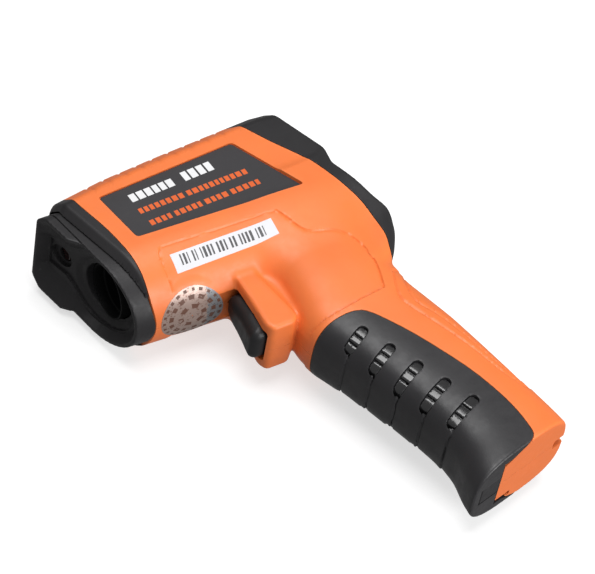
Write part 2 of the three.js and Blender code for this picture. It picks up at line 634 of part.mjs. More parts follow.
piece("shell_left", shellLeft, COLOURS.orange());
piece("shell_right", shellRight, COLOURS.orange());
piece("front_collar", collar, COLOURS.black());
piece("front_cowl", biggest(cowl), COLOURS.black());
piece("lens_tube", lensTube, COLOURS.black());
piece("lens_retaining_ring", lensRing, COLOURS.black());
piece("ir_lens", irLens, COLOURS.darkGloss());
piece("sensor_holder", sensorHolder, COLOURS.white());
piece("thermopile_sensor", thermopile, COLOURS.steel());
piece("laser_module", laserModule, COLOURS.brass());
piece("laser_window", laserWindow, COLOURS.darkGloss());
piece("rear_bezel", bezel, COLOURS.black());
piece("lcd_window", lcdWindow, COLOURS.glass());
piece("lcd_module", lcdModule, COLOURS.glass());
piece("lcd_backlight", backlight, COLOURS.white());
for (const key of KEYS) {
  piece(key[0], onKeys(key, 0, -0.9, 3.6), COLOURS.black());
}
piece("key_board", keyBoard, COLOURS.board());
piece("main_board", biggest(mainBoard), COLOURS.board());
piece("processor_chip", chip, COLOURS.darkGloss());
piece("buzzer", buzzerBody, COLOURS.black());
piece("trigger", trigger, COLOURS.black());
piece("trigger_bracket", bracket, COLOURS.black());
piece("trigger_spring", coil(), COLOURS.steel());
piece("trigger_switch", switchBody, COLOURS.black());
piece("switch_plunger", plunger, COLOURS.white());
piece("battery_door", door, COLOURS.black());
piece("door_hinge_pin", hingePin, COLOURS.steel());
piece("battery", batteryWhole, COLOURS.battery());
piece("battery_snap", snap, COLOURS.black());
piece("label_left", labelPlate(1), COLOURS.label());
piece("label_right", labelPlate(-1), COLOURS.label());
SCREWS.forEach(([x, y], i) => {
  const screw = rodZ(1.3, x, y, -12.5, 7, 12).add(rodZ(2.5, x, y, -13.6, -11.9, 16));
  piece("case_screw_" + (i + 1), screw, COLOURS.steel());
});

const root = new THREE.Group();
root.add(instrument);
const box = new THREE.Box3().setFromObject(instrument);
const middle = box.getCenter(new THREE.Vector3());
instrument.position.set(-middle.x, -middle.y, -box.min.z);

export default root;
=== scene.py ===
"""Infrared thermometer, pistol form, laid on its right side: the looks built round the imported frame.

Shapes are drawn in millimetres in the drawing's own axes: X from the lens to the display, Y from the handle's
base to the top of the barrel, Z from the right side to the left side. The drawing's zero is the middle of the
hood's front edge. Moulded pieces are level sets: a field that is negative inside the plastic is meshed by
dual contouring, which keeps crisp edges crisp and blends soft. Places in the frame come from the CAD box.
"""
import math
from functools import reduce

import bpy
import numpy as np
from mathutils import Matrix, Vector


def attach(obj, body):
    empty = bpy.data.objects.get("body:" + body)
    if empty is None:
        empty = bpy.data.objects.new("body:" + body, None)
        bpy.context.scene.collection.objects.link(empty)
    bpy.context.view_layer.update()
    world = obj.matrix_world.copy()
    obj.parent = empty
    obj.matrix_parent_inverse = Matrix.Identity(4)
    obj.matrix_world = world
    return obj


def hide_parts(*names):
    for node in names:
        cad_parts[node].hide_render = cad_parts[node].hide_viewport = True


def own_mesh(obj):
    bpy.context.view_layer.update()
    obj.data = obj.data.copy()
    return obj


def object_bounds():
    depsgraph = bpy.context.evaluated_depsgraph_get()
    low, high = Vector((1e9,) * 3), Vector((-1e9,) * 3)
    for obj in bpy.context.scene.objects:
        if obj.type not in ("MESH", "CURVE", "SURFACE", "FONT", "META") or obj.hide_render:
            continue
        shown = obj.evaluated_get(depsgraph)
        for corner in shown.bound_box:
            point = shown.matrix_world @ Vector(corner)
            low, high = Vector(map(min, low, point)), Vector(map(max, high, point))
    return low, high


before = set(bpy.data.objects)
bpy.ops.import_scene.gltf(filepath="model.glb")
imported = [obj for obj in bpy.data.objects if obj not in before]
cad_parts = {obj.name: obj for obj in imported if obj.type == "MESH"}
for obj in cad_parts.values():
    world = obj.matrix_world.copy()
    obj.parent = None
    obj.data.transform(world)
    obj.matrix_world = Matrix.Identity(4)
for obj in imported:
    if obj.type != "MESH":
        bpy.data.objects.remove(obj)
cad_low, cad_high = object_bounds()

# ------------------------------------------------------------------ driving dimensions, in millimetres
MM = 0.001
CAD_LOW_Y = -148.22  # lowest point of the drawing, the front tip of the handle's base
SHIFT = np.array([cad_low.x / MM, cad_low.y / MM - CAD_LOW_Y, (cad_low.z + cad_high.z) / 2 / MM])
FINE = 0.6  # cell of the large mouldings
FINER = 0.45  # cell of the small mouldings

WALL = 2.2
SEAM = 0.12  # half of a moulding seam
HALF = 19.8  # barrel's half width
COWL_HALF = 17.0
TOP_LINE = np.array([(-10, 0.6), (5, 2.2), (14, 3.7), (26, 5.7), (48, 7.8), (73, 9.7), (84, 10.5), (93, 9.8),
                     (110, 8)])
CHAMFER = 5.5
BOTTOM_AT_FRONT, BOTTOM_SLOPE = -46.1, -0.06
FRONT_X = 5.0
SIDE_END = -27.0
OPTIC_Y = -26.7
LASER_Y = -7.2


# ------------------------------------------------------------------ field arithmetic
def soft_min(a, b, k):
    """Union of two fields with a fillet of about k."""
    h = np.clip(0.5 + 0.5 * (b - a) / k, 0.0, 1.0)
    return b + (a - b) * h - k * h * (1.0 - h)


def soft_max(a, b, k):
    """Intersection of two fields with a rounded edge of about k."""
    return -soft_min(-a, -b, k)


def meet(*fields):
    """Intersection of fields."""
    return reduce(np.maximum, fields)


def join(*fields):
    """Union of fields."""
    return reduce(np.minimum, fields)


def cut(field, *tools):
    """A field with others taken out of it."""
    return reduce(lambda left, tool: np.maximum(left, -tool), tools, field)


def measured(x, y, points):
    """Signed distance to a closed side-view outline at every point, negative inside."""
    pts = np.array(points, np.float32)
    best = np.full(x.shape, 1e9, np.float32)
    inside = np.zeros(x.shape, bool)
    for (ax, ay), (bx, by) in zip(pts, np.roll(pts, -1, axis=0)):
        ex, ey = bx - ax, by - ay
        wx, wy = x - ax, y - ay
        t = np.clip((wx * ex + wy * ey) / (ex * ex + ey * ey), 0.0, 1.0)
        best = np.minimum(best, (wx - ex * t) ** 2 + (wy - ey * t) ** 2)
        crosses = (ay > y) != (by > y)
        if abs(ey) > 1e-9:
            inside ^= crosses & (x < ex * (y - ay) / ey + ax)
    best = np.sqrt(best)
    return np.where(inside, -best, best)


TABLE_STEP = 0.25  # an outline's distances are measured once, on a grid that covers the drawing
TABLE_X = np.arange(-12.0, 126.0, TABLE_STEP, dtype=np.float32)
TABLE_Y = np.arange(-162.0, 18.0, TABLE_STEP, dtype=np.float32)
tables = {}


def polygon(x, y, points):
    """Signed distance to a closed side-view outline, read between the points of its grid."""
    key = tuple(float(v) for point in points for v in point)
    if key not in tables:
        grid_x, grid_y = np.meshgrid(TABLE_X, TABLE_Y, indexing="ij")
        tables[key] = measured(grid_x, grid_y, points)
    table = tables[key]
    u = np.clip((x - TABLE_X[0]) / TABLE_STEP, 0, len(TABLE_X) - 1.001)
    v = np.clip((y - TABLE_Y[0]) / TABLE_STEP, 0, len(TABLE_Y) - 1.001)
    i, j = u.astype(np.int32), v.astype(np.int32)
    u, v = u - i, v - j
    low = table[i, j] * (1 - v) + table[i, j + 1] * v
    high = table[i + 1, j] * (1 - v) + table[i + 1, j + 1] * v
    return (low * (1 - u) + high * u).astype(np.float32)


def smooth_outline(points, radii, steps=5):
    """An outline whose corners are rounded: radii is one number or one per corner."""
    pts = [np.array(p, float) for p in points]
    if not hasattr(radii, "__len__"):
        radii = [radii] * len(pts)
    out = []
    for i, p in enumerate(pts):
        a, b, r = pts[i - 1] - p, pts[(i + 1) % len(pts)] - p, radii[i]
        if r <= 0:
            out.append(p)
            continue
        a, b = a / np.linalg.norm(a), b / np.linalg.norm(b)
        for t in np.linspace(0, 1, steps):
            out.append(p + r * ((1 - t) ** 2 * a + t ** 2 * b))
    return out


def spline(points, steps):
    """A smooth curve through a few points (Catmull-Rom)."""
    pts = [np.array(p, float) for p in points]
    last = len(pts) - 1
    out = []
    for i in range(last):
        p = [pts[min(max(i + k, 0), last)] for k in (-1, 0, 1, 2)]
        for t in np.arange(steps) / steps:
            out.append(0.5 * (2 * p[1] + (p[2] - p[0]) * t + (2 * p[0] - 5 * p[1] + 4 * p[2] - p[3]) * t ** 2
                              + (3 * p[1] - p[0] - 3 * p[2] + p[3]) * t ** 3))
    out.append(pts[-1])
    return out


# ------------------------------------------------------------------ dual contouring
SLICES = 24  # how many slices of a field are computed at once
CLOSE_ENOUGH = 0.02  # a straight-line guess may miss the surface by this much
PROBE = np.float32(0.03)  # the step over which a field's slope is taken
HOLD = 0.05  # how strongly a corner is held to the middle of its crossings


def sample(field, low, cells, step):
    """The field on the corners of a box of cells, computed slice by slice."""
    axes = [low[a] + step * np.arange(cells[a] + 1, dtype=np.float32) for a in range(3)]
    values = np.empty([len(a) for a in axes], np.float32)
    for start in range(0, len(axes[0]), SLICES):
        part = axes[0][start:start + SLICES]
        x, y, z = np.meshgrid(part, axes[1], axes[2], indexing="ij", sparse=True)
        values[start:start + SLICES] = field(x, y, z)
    return values


def crossings(field, inner, outer, v0, v1):
    """Where the field is zero along a grid edge: a straight-line guess, and halving where that misses."""
    at = inner + (v0 / (v0 - v1))[:, None] * (outer - inner)
    missed = np.flatnonzero(np.abs(field(at[:, 0], at[:, 1], at[:, 2])) > CLOSE_ENOUGH)
    a, b, first = inner[missed], outer[missed], v0[missed] < 0
    for _ in range(6):
        middle = (a + b) / 2
        same = (field(middle[:, 0], middle[:, 1], middle[:, 2]) < 0) == first
        a, b = np.where(same[:, None], middle, a), np.where(same[:, None], b, middle)
    at[missed] = (a + b) / 2
    return at


def contour(field, low, high, step):
    """Vertices and quads of the field's zero surface inside a box, in drawing millimetres."""
    low = np.array(low, np.float32)
    cells = np.ceil((np.array(high) - low) / step).astype(int)
    values = sample(field, low, cells, step)
    for a in range(3):  # the surface closes at the box
        side = [slice(None)] * 3
        for end in (0, -1):
            side[a] = end
            values[tuple(side)] = np.maximum(values[tuple(side)], 0.01)
    inside = values < 0
    points, owners, quads = [], [], []
    size = np.array(values.shape)
    stride = np.array([size[1] * size[2], size[2], 1])
    for a in range(3):
        b, c = (a + 1) % 3, (a + 2) % 3
        near, far = [slice(None)] * 3, [slice(None)] * 3
        near[a], far[a] = slice(None, -1), slice(1, None)
        crossing = np.argwhere(inside[tuple(near)] != inside[tuple(far)])
        if not len(crossing):
            continue
        unit = np.zeros(3, int)
        unit[a] = 1
        v0 = values[tuple(crossing.T)]
        v1 = values[tuple((crossing + unit).T)]
        inner = (low + step * crossing).astype(np.float32)
        points.append(crossings(field, inner, (inner + step * unit).astype(np.float32), v0, v1))
        starts_inside = v0 < 0
        ub, uc = np.zeros(3, int), np.zeros(3, int)
        ub[b], uc[c] = 1, 1
        around = [crossing - ub - uc, crossing - uc, crossing, crossing - ub]
        ids = np.stack([o @ stride for o in around], 1)
        owners.append(ids)
        quads.append(np.where(starts_inside[:, None], ids, ids[:, ::-1]))
    at = np.concatenate(points)
    here = field(at[:, 0], at[:, 1], at[:, 2])
    grad = np.stack([
        field(at[:, 0] + PROBE, at[:, 1], at[:, 2]) - here,
        field(at[:, 0], at[:, 1] + PROBE, at[:, 2]) - here,
        field(at[:, 0], at[:, 1], at[:, 2] + PROBE) - here,
    ], 1).astype(float)
    grad /= np.linalg.norm(grad, axis=1)[:, None] + 1e-12
    owners, quads = np.concatenate(owners), np.concatenate(quads)
    cell_ids, where = np.unique(owners, return_inverse=True)
    where = where.reshape(owners.shape)
    count = len(cell_ids)

    def gather(weights):
        return sum(np.bincount(where[:, k], weights, count) for k in range(4))

    hits = gather(np.ones(len(at)))
    mass = np.stack([gather(at[:, a].astype(float)) for a in range(3)], 1) / hits[:, None]
    ata = np.empty((count, 3, 3))
    for a in range(3):
        for b in range(3):
            ata[:, a, b] = gather(grad[:, a] * grad[:, b])
    along = np.einsum("ij,ij->i", grad, at.astype(float))
    atb = np.stack([gather(grad[:, a] * along) for a in range(3)], 1)
    rest = atb - np.einsum("ijk,ik->ij", ata, mass)
    ata += HOLD * np.eye(3)
    vertex = mass + np.linalg.solve(ata, rest[:, :, None])[:, :, 0]
    corner = np.stack(np.unravel_index(cell_ids, size), 1)
    floor = low + step * corner
    vertex = np.clip(vertex, floor, floor + step)
    faces = np.searchsorted(cell_ids, quads)
    return vertex, faces


# ------------------------------------------------------------------ shape of the whole body
HANDLE = np.array([  # height, front, rear, half width
    [-20, 60, 98, 16.6], [-34, 60, 98, 16.6], [-58, 59.5, 98.6, 16.6], [-70, 58, 100.6, 15.8],
    [-78, 59.3, 103.4, 15.2], [-88, 63.9, 106.4, 14.8], [-100, 68.2, 108.9, 14.5], [-113, 72.8, 111.4, 14.2],
    [-125, 76.4, 113.4, 14], [-134, 77.3, 115.1, 13.9], [-143, 75.2, 116.4, 13.8], [-153, 74.6, 117, 13.7],
    [-165, 74.6, 117, 13.7],
], np.float32)[::-1]
SQUARENESS = 3.1
HANDLE_TOP = 22.0  # how far below the drawing's zero the handle's root ends, inside the barrel
COLLAR_LINE = [(10.4, 12), (11.2, -1.5), (15.5, -18.4), (17.6, -34), (18, -43.5), (19.3, -47), (19.5, -60)]
BEZEL_LINE = [(72, 13), (77.4, 4.4), (82.9, -5.3), (90.7, -18.1), (95.8, -32), (99.4, -42.2), (99.8, -51.4),
              (98.4, -57.2), (98, -59.6), (112, -61)]
REAR_PROFILE = [(90.6, 14), (90.6, 5.2), (98.3, -14.8), (97.3, -21.4), (98.6, -25), (103.2, -38.2),
                (106.9, -43.3), (106.4, -48), (104.8, -52), (101.4, -57), (99, -62)]
REAR_RADII = [0, 1.2, 1.5, 1.2, 1.5, 3, 2.5, 2, 2, 3, 0]
DOOR_LINE = [(50, -79.4), (56.6, -77.6), (65.6, -76), (74.2, -76.3), (77.6, -78.6), (85.4, -90.3),
             (95.6, -112.3), (99.3, -127), (99.9, -135), (99.6, -142.0), (95.6, -143.6), (95.2, -160)]
DOOR_RADII = [0, 2.5, 4, 3, 3, 8, 8, 5, 3, 2.6, 0.8, 0]
BASE_FRONT, BASE_REAR = (75, -148.2), (115.2, -139)
BASE_SLOPE = (BASE_REAR[1] - BASE_FRONT[1]) / (BASE_REAR[0] - BASE_FRONT[0])
HINGE_X, HINGE_Y = 80.5, -143.4
KNUCKLE = 6.4  # reach of the door's floor behind the pin
PIN_RADIUS, PIN_HALF = 1.5, 8.9
TONGUE_X = [83, 88.6, 96, 101]
TONGUE_HALF = [7.4, 9.2, 12.4, 13.2]
BOSS = smooth_outline(
    [(47.6, -38), (47.6, -46), (47.4, -56), (46.6, -66.8), (48.4, -69.8), (56.4, -69.8), (59, -67.2),
     (57.7, -58.5), (55.6, -47), (54, -38)], [0, 2, 6, 2, 1.5, 1.5, 1.5, 6, 2, 0])
BOSS_HALF = 10.9
FOIL_AT, FOIL_RADIUS = (32.0, 1.6), 10.9  # a disc on the barrel's underside: its middle along X and Z
WEB_HALF = 8.8  # joins the boss to the handle
CHIN = smooth_outline(
    [(88, -33), (101.4, -33), (103.2, -38.2), (107, -43.3), (106.5, -48), (104.9, -52), (101.5, -57.2),
     (97, -61.2), (88, -62)], [0, 0, 1.5, 3, 2, 2, 3, 2, 0])
CHIN_HALF = 15.0
RIB_START, RIB_PITCH, RIB_COUNT = 20.0, 6.3, 9  # notches across the barrel's top
PANEL_DEPTH, THUMB_DEPTH, THUMB_GROOVE = 0.35, 0.25, 0.5
EDGE_WIDTH = 0.8  # over which a shallow step comes in
PANEL = spline([(26.6, -47), (25.9, -40), (25.9, -34), (27.2, -31.6), (30, -31), (47.4, -31.6), (66.6, -32.1),
                (70.2, -34.3), (74.8, -42.4), (83, -45.2), (87.1, -48.3), (89.5, -53.3), (90.1, -59.1),
                (89.6, -64), (87, -72)], 4) + [np.array((70, -74)), np.array((30, -74))]
LABEL = smooth_outline([(19.4, -4.9), (70.6, -0.9), (83, -26.4), (22.8, -24.4)], 1.0)
THUMB_OUTER = [*spline([(94.4, -66), (91.6, -71.6), (90, -77.2), (91.3, -81.9), (94.9, -89.4), (99, -98.5),
                        (102.2, -107.1), (104.8, -115.4), (109, -123)], 4), (125, -126), (125, -62)]
THUMB_INNER = [*spline([(97.6, -68), (95.2, -73.6), (94.6, -80.2), (97.8, -86), (101.5, -94.6), (104, -104.3),
                        (105.8, -110.9), (108.6, -119)], 4), (125, -122), (125, -64)]


def column(y, index):
    """A handle dimension at each height, smoothly interpolated."""
    heights, values = HANDLE[:, 0], HANDLE[:, index]
    fine_y = np.linspace(heights[0], heights[-1], 300)
    fine = np.interp(fine_y, heights, values)
    kernel = np.hanning(23)
    fine = np.convolve(np.pad(fine, 11, mode="edge"), kernel / kernel.sum(), mode="valid")
    return np.interp(y, fine_y, fine).astype(np.float32)


def round_lower(y, a, half, bottom):
    """The lower, elliptical part of a barrel-like section."""
    depth = SIDE_END - bottom
    v = np.minimum(y - SIDE_END, 0.0)
    q = np.sqrt((a / half) ** 2 + (v / depth) ** 2) + 1e-6
    slope = np.sqrt((a / half ** 2) ** 2 + (v / depth ** 2) ** 2) / q + 1e-6
    return (q - 1.0) / slope


def section(x, y, z, top, half, chamfer, sharp):
    """A section carried along X: flat top and sides, chamfered above and round below."""
    a = np.abs(z)
    over = y - top
    corner = (a + over - (half - chamfer)) * math.sqrt(0.5)
    upper = soft_max(soft_max(over, corner, sharp), a - half, sharp)
    lower = round_lower(y, a, half, BOTTOM_AT_FRONT + BOTTOM_SLOPE * (x - FRONT_X))
    return np.where(y < SIDE_END, lower, upper)


def top_line(x):
    return np.interp(x, TOP_LINE[:, 0], TOP_LINE[:, 1])


def barrel(x, y, z):
    """The barrel with the notches across its top."""
    top = top_line(x).astype(np.float32)
    step = (x - RIB_START) / RIB_PITCH
    near = np.abs(step - np.clip(np.round(step), 0, RIB_COUNT - 1)) * RIB_PITCH
    notch = 0.6 * np.clip(1.0 - near / 0.9, 0.0, 1.0)
    return section(x, y, z, top - notch, HALF, CHAMFER, 1.0)


def handle(x, y, z, inset=0.0):
    """The handle: squared ellipses that lean, narrow and flare down to the slanted base."""
    front, rear, half = column(y, 1), column(y, 2), column(y, 3)
    middle, reach = (front + rear) / 2, (rear - front) / 2
    u, v = np.abs(x - middle) / reach, np.abs(z) / half
    e = SQUARENESS
    s = u ** e + v ** e + 1e-9
    q = s ** (1 / e)
    du = (u ** (e - 1)) * s ** (1 / e - 1) / reach
    dv = (v ** (e - 1)) * s ** (1 / e - 1) / half
    return (q - 1.0) / (np.sqrt(du ** 2 + dv ** 2) + 1e-6) * 0.97 + inset


def base_plane(x, y):
    """Positive below the slanted base."""
    return (BASE_FRONT[1] + BASE_SLOPE * (x - BASE_FRONT[0]) - y) / math.hypot(1, BASE_SLOPE)


def boss(x, y, z):
    """The housing's cheeks beside the trigger."""
    cheeks = soft_max(polygon(x, y, BOSS), np.abs(z) - BOSS_HALF, 1.6)
    return soft_min(cheeks, brick(x - 62, y + 52, z, (10, 14, WEB_HALF), 2.5), 2.5)


def chin(x, y, z, inset=0.0):
    """The rounded rear underside, below the keys."""
    return soft_max(polygon(x + inset, y, CHIN), np.abs(z) - CHIN_HALF, 5.0) + inset


def body(x, y, z):
    """The whole moulded outside, before it is cut into pieces."""
    grown = soft_min(barrel(x, y, z), meet(handle(x, y, z), y + HANDLE_TOP), 7.0)
    grown = soft_min(grown, boss(x, y, z), 1.6)
    grown = soft_min(grown, chin(x, y, z), 2.0)
    return soft_max(grown, base_plane(x, y), 1.2)


def step_in(distance, width):
    """0 outside an outline and 1 inside it, with a soft step at its edge."""
    return np.clip(0.5 - distance / width, 0.0, 1.0)


def groove(distance, half_width):
    """1 along an outline, falling to 0 at half_width from it."""
    return np.clip(1.0 - np.abs(distance) / half_width, 0.0, 1.0)


def body_detail(x, y, z):
    """The body with its shallow relief: side panel and its groove, and the thumb rests."""
    panel = polygon(x, y, PANEL)
    relief = PANEL_DEPTH * (step_in(panel, EDGE_WIDTH) + groove(panel, 0.45))
    relief = relief * np.clip((np.abs(z) - 5.0) / 4.0, 0.0, 1.0)
    from_foil = np.where(y < -38.0, np.hypot(x - FOIL_AT[0], z - FOIL_AT[1]) - FOIL_RADIUS, 9.0)
    relief = relief * np.clip(from_foil / 1.5, 0.0, 1.0)
    outer, inner = polygon(x, y, THUMB_OUTER), polygon(x, y, THUMB_INNER)
    thumb = sum(THUMB_DEPTH * step_in(edge, EDGE_WIDTH) + THUMB_GROOVE * groove(edge, 0.7)
                for edge in (outer, inner))
    return body(x, y, z) + relief + thumb * np.clip((np.abs(z) - 6.0) / 3.0, 0.0, 1.0)


def hollow(x, y, z):
    """The space inside the walls."""
    tube = section(x, y, z, top_line(x), HALF, CHAMFER, 1.0) + WALL
    inner = soft_min(tube, meet(handle(x, y, z, WALL), y + HANDLE_TOP), 5.0)
    inner = soft_min(inner, chin(x, y, z, WALL + 0.8), 1.0)
    return meet(inner, base_plane(x, y) + WALL)


def side_region(line, far_x):
    """A closed outline from a cutting line to far in front (-) or behind (+) it."""
    return [(far_x, line[0][1] + 30), (line[0][0], line[0][1] + 30), *line,
            (line[-1][0], line[-1][1] - 60), (far_x, line[-1][1] - 60)]


COLLAR_CUT = side_region([*spline(COLLAR_LINE[:6], 4), COLLAR_LINE[6]], -60)
BEZEL_CUT = [(160, 40), (60, 40), *spline(BEZEL_LINE[:9], 6), BEZEL_LINE[9], (160, -61)]
REAR_CUT = [(160, 40), *smooth_outline(REAR_PROFILE, REAR_RADII, 4), (160, -66)]
DOOR_CUT = [(0, -90), (40, -84), *smooth_outline(DOOR_LINE, DOOR_RADII, 4), (97, -165), (0, -165)]


def tongue(x, z, margin=0.0):
    """Negative over the casing's tongue in the base, seen from below."""
    half = np.interp(x, TONGUE_X, TONGUE_HALF)
    return meet(np.abs(z) - half, TONGUE_X[0] - x) * 0.9 - margin


def orange_region(x, y):
    """Negative where the casing halves are."""
    front = -polygon(x, y, COLLAR_CUT) + SEAM
    rear = -polygon(x, y, BEZEL_CUT) + SEAM
    door = -polygon(x, y, DOOR_CUT) + SEAM
    return meet(front, rear, door)


def turn(x, y, angle, cx, cy):
    """Coordinates of a point in a frame that is turned by an angle about Z and centred on (cx, cy)."""
    c, s = math.cos(angle), math.sin(angle)
    return c * (x - cx) + s * (y - cy), -s * (x - cx) + c * (y - cy)


def brick(u, v, w, half, radius=0.0):
    """A box about the origin with rounded edges: half sizes along u, v and w."""
    q = [np.abs(c) - h + radius for c, h in zip((u, v, w), half)]
    outside = np.sqrt(sum(np.maximum(c, 0.0) ** 2 for c in q))
    return outside + np.minimum(meet(*q), 0.0) - radius


# ------------------------------------------------------------------ making pieces
def to_row(points):
    """Drawing millimetres to the row frame in metres."""
    return (np.asarray(points, float) + SHIFT) * MM


SHARP_ANGLE = math.radians(32.0)


def mesh_piece(name, vertices, faces, body_name="root", node=None, slot=None, material=None):
    """A mesh object from drawing vertices and faces, smooth but for its sharp edges, riding on a body."""
    mesh = bpy.data.meshes.new(name)
    if isinstance(faces, list):
        mesh.from_pydata([tuple(v) for v in to_row(vertices)], [], faces)
    else:
        mesh.vertices.add(len(vertices))
        mesh.vertices.foreach_set("co", to_row(vertices).astype(np.float32).ravel())
        mesh.loops.add(faces.size)
        mesh.loops.foreach_set("vertex_index", faces.astype(np.int32).ravel())
        mesh.polygons.add(len(faces))
        mesh.polygons.foreach_set("loop_start", np.arange(0, faces.size, faces.shape[1], dtype=np.int32))
    mesh.update(calc_edges=True)
    mesh.validate()
    mesh.polygons.foreach_set("use_smooth", np.ones(len(mesh.polygons), bool))
    mesh.set_sharp_from_angle(angle=SHARP_ANGLE)
    piece = bpy.data.objects.new(name, mesh)
    bpy.context.scene.collection.objects.link(piece)
    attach(piece, body_name)
    if node:
        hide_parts(node)
    if material:
        piece.data.materials.append(material)
    return piece


def moulded(name, field, low, high, step=None, **finish):
    """A level-set piece."""
    return mesh_piece(name, *contour(field, low, high, step or FINE), **finish)


# ------------------------------------------------------------------ materials
def add(tree, kind, **inputs):
    """A new node: each input is a number, or another node's output to link to it."""
    node = tree.nodes.new("ShaderNode" + kind)
    for name, value in inputs.items():
        socket = node.inputs[name.replace("_", " ")]
        if isinstance(value, bpy.types.NodeSocket):
            tree.links.new(value, socket)
        else:
            socket.default_value = value
    return node


def noise(tree, where, scale, detail, rough=0.55):
    """A noise texture on coordinates in millimetres."""
    return add(tree, "TexNoise", Scale=scale, Detail=detail, Roughness=rough, Vector=where).outputs["Fac"]


def spread(tree, value, low, high, start=0.3, end=0.7):
    """A value remapped between two limits."""
    node = add(tree, "MapRange", From_Min=start, From_Max=end, To_Min=low, To_Max=high, Value=value)
    return node.outputs["Result"]


def combine(tree, operation, first, second):
    node = add(tree, "Math")
    node.operation = operation
    tree.links.new(first, node.inputs[0])
    tree.links.new(second, node.inputs[1])
    return node.outputs[0]


def bump(tree, height, strength, distance, **below):
    """Relief from a height, over another relief's normal where one is given."""
    return add(tree, "Bump", Strength=strength, Distance=distance, Height=height, **below).outputs["Normal"]


def blend_colour(tree, share, first, second):
    """A mix of two colours, each a constant or another node's output."""
    node = tree.nodes.new("ShaderNodeMix")
    node.data_type = "RGBA"
    tree.links.new(share, node.inputs["Factor"])
    for socket, colour in ((node.inputs[6], first), (node.inputs[7], second)):
        if isinstance(colour, tuple):
            socket.default_value = (*colour, 1)
        else:
            tree.links.new(colour, socket)
    return node.outputs[2]


def shade(name, colour, roughness, grain=0.3, grain_size=0.35, mottle=0.06, smudge=0.07, edge_wear_and_highlight=None,
          edge_wear_and_highlight_share=0.5, metallic=0.0, clear=0.0, speck=None, brushed=False, swell=0.15, sheen=0.5):
    """A procedural finish: mould grain, slow unevenness, patchy gloss, light edges and fine scratches; the
    light edges are rubbed wear, on the glossy pads a painted highlight.
    """
    material = bpy.data.materials.new(name)
    material.use_nodes = True
    tree = material.node_tree
    shader = tree.nodes["Principled BSDF"]
    shader.inputs["Base Color"].default_value = (*colour, 1)
    shader.inputs["Roughness"].default_value = roughness
    shader.inputs["Metallic"].default_value = metallic
    shader.inputs["Transmission Weight"].default_value = clear
    shader.inputs["Specular IOR Level"].default_value = sheen
    place = add(tree, "TexCoord").outputs["Object"]
    where = add(tree, "Mapping", Scale=(1000, 1000, 1000), Vector=place).outputs["Vector"]
    stretch, lean = ((0.12, 3.0, 3.0), 0) if brushed else ((0.35, 5.0, 2.2), 0.6)
    streak = add(tree, "Mapping", Scale=stretch, Rotation=(0, 0, lean), Vector=where).outputs["Vector"]

    slow = noise(tree, where, 0.07, 4)
    patchy = noise(tree, where, 0.35, 5, 0.6)
    fine = noise(tree, where, 1.0 / grain_size, 2)
    scratch = noise(tree, streak, 1.0, 5, 0.7)
    dark = tuple(c * (1 - mottle) for c in colour)
    light = tuple(min(1.0, c * (1 + mottle)) for c in colour)
    tint = blend_colour(tree, spread(tree, slow, 0, 1), dark, light)
    tint = blend_colour(tree, spread(tree, patchy, 0, 0.5, 0.35, 0.75), tint, dark)
    if speck:
        cells = add(tree, "TexVoronoi", Scale=speck[1], Vector=where).outputs["Distance"]
        tint = blend_colour(tree, spread(tree, cells, 0.9, 0, 0.15, 0.35), tint, speck[0])
    # Lighter colour on pointy edges: rubbed wear on most finishes, and on the glossy pads a painted highlight
    # along their ridges.
    if edge_wear_and_highlight:
        edge = spread(tree, add(tree, "NewGeometry").outputs["Pointiness"], 0, edge_wear_and_highlight_share, 0.52, 0.62)
        edge_wear_and_highlight_mask = combine(tree, "MULTIPLY", edge, spread(tree, patchy, 0.15, 1))
        tint = blend_colour(tree, edge_wear_and_highlight_mask, tint, edge_wear_and_highlight)
    tree.links.new(tint, shader.inputs["Base Color"])

    gloss = spread(tree, patchy, roughness - smudge, roughness + smudge)
    gloss = combine(tree, "ADD", gloss, spread(tree, scratch, -0.04, 0.06))
    tree.links.new(gloss, shader.inputs["Roughness"])

    relief = bump(tree, noise(tree, where, 0.18, 2), swell, 0.0004)
    scored = bump(tree, scratch, 0.5 if brushed else 0.12, 0.00004, Normal=relief)
    tree.links.new(bump(tree, fine, grain, 0.00005, Normal=scored), shader.inputs["Normal"])
    return material


ORANGE = shade("orange_plastic", (0.86, 0.195, 0.045), 0.42, grain=0.35, grain_size=0.3, mottle=0.05,
               edge_wear_and_highlight=(0.95, 0.36, 0.15), edge_wear_and_highlight_share=0.35)
BLACK = shade("black_plastic", (0.022, 0.021, 0.0225), 0.46, grain=0.4, grain_size=0.28, mottle=0.15,
              edge_wear_and_highlight=(0.06, 0.06, 0.062), edge_wear_and_highlight_share=0.4, sheen=0.3)
GRIP = shade("satin_grip", (0.021, 0.020, 0.022), 0.4, grain=0.25, grain_size=0.22, mottle=0.15,
             edge_wear_and_highlight=(0.07, 0.07, 0.073), edge_wear_and_highlight_share=0.4, sheen=0.5)
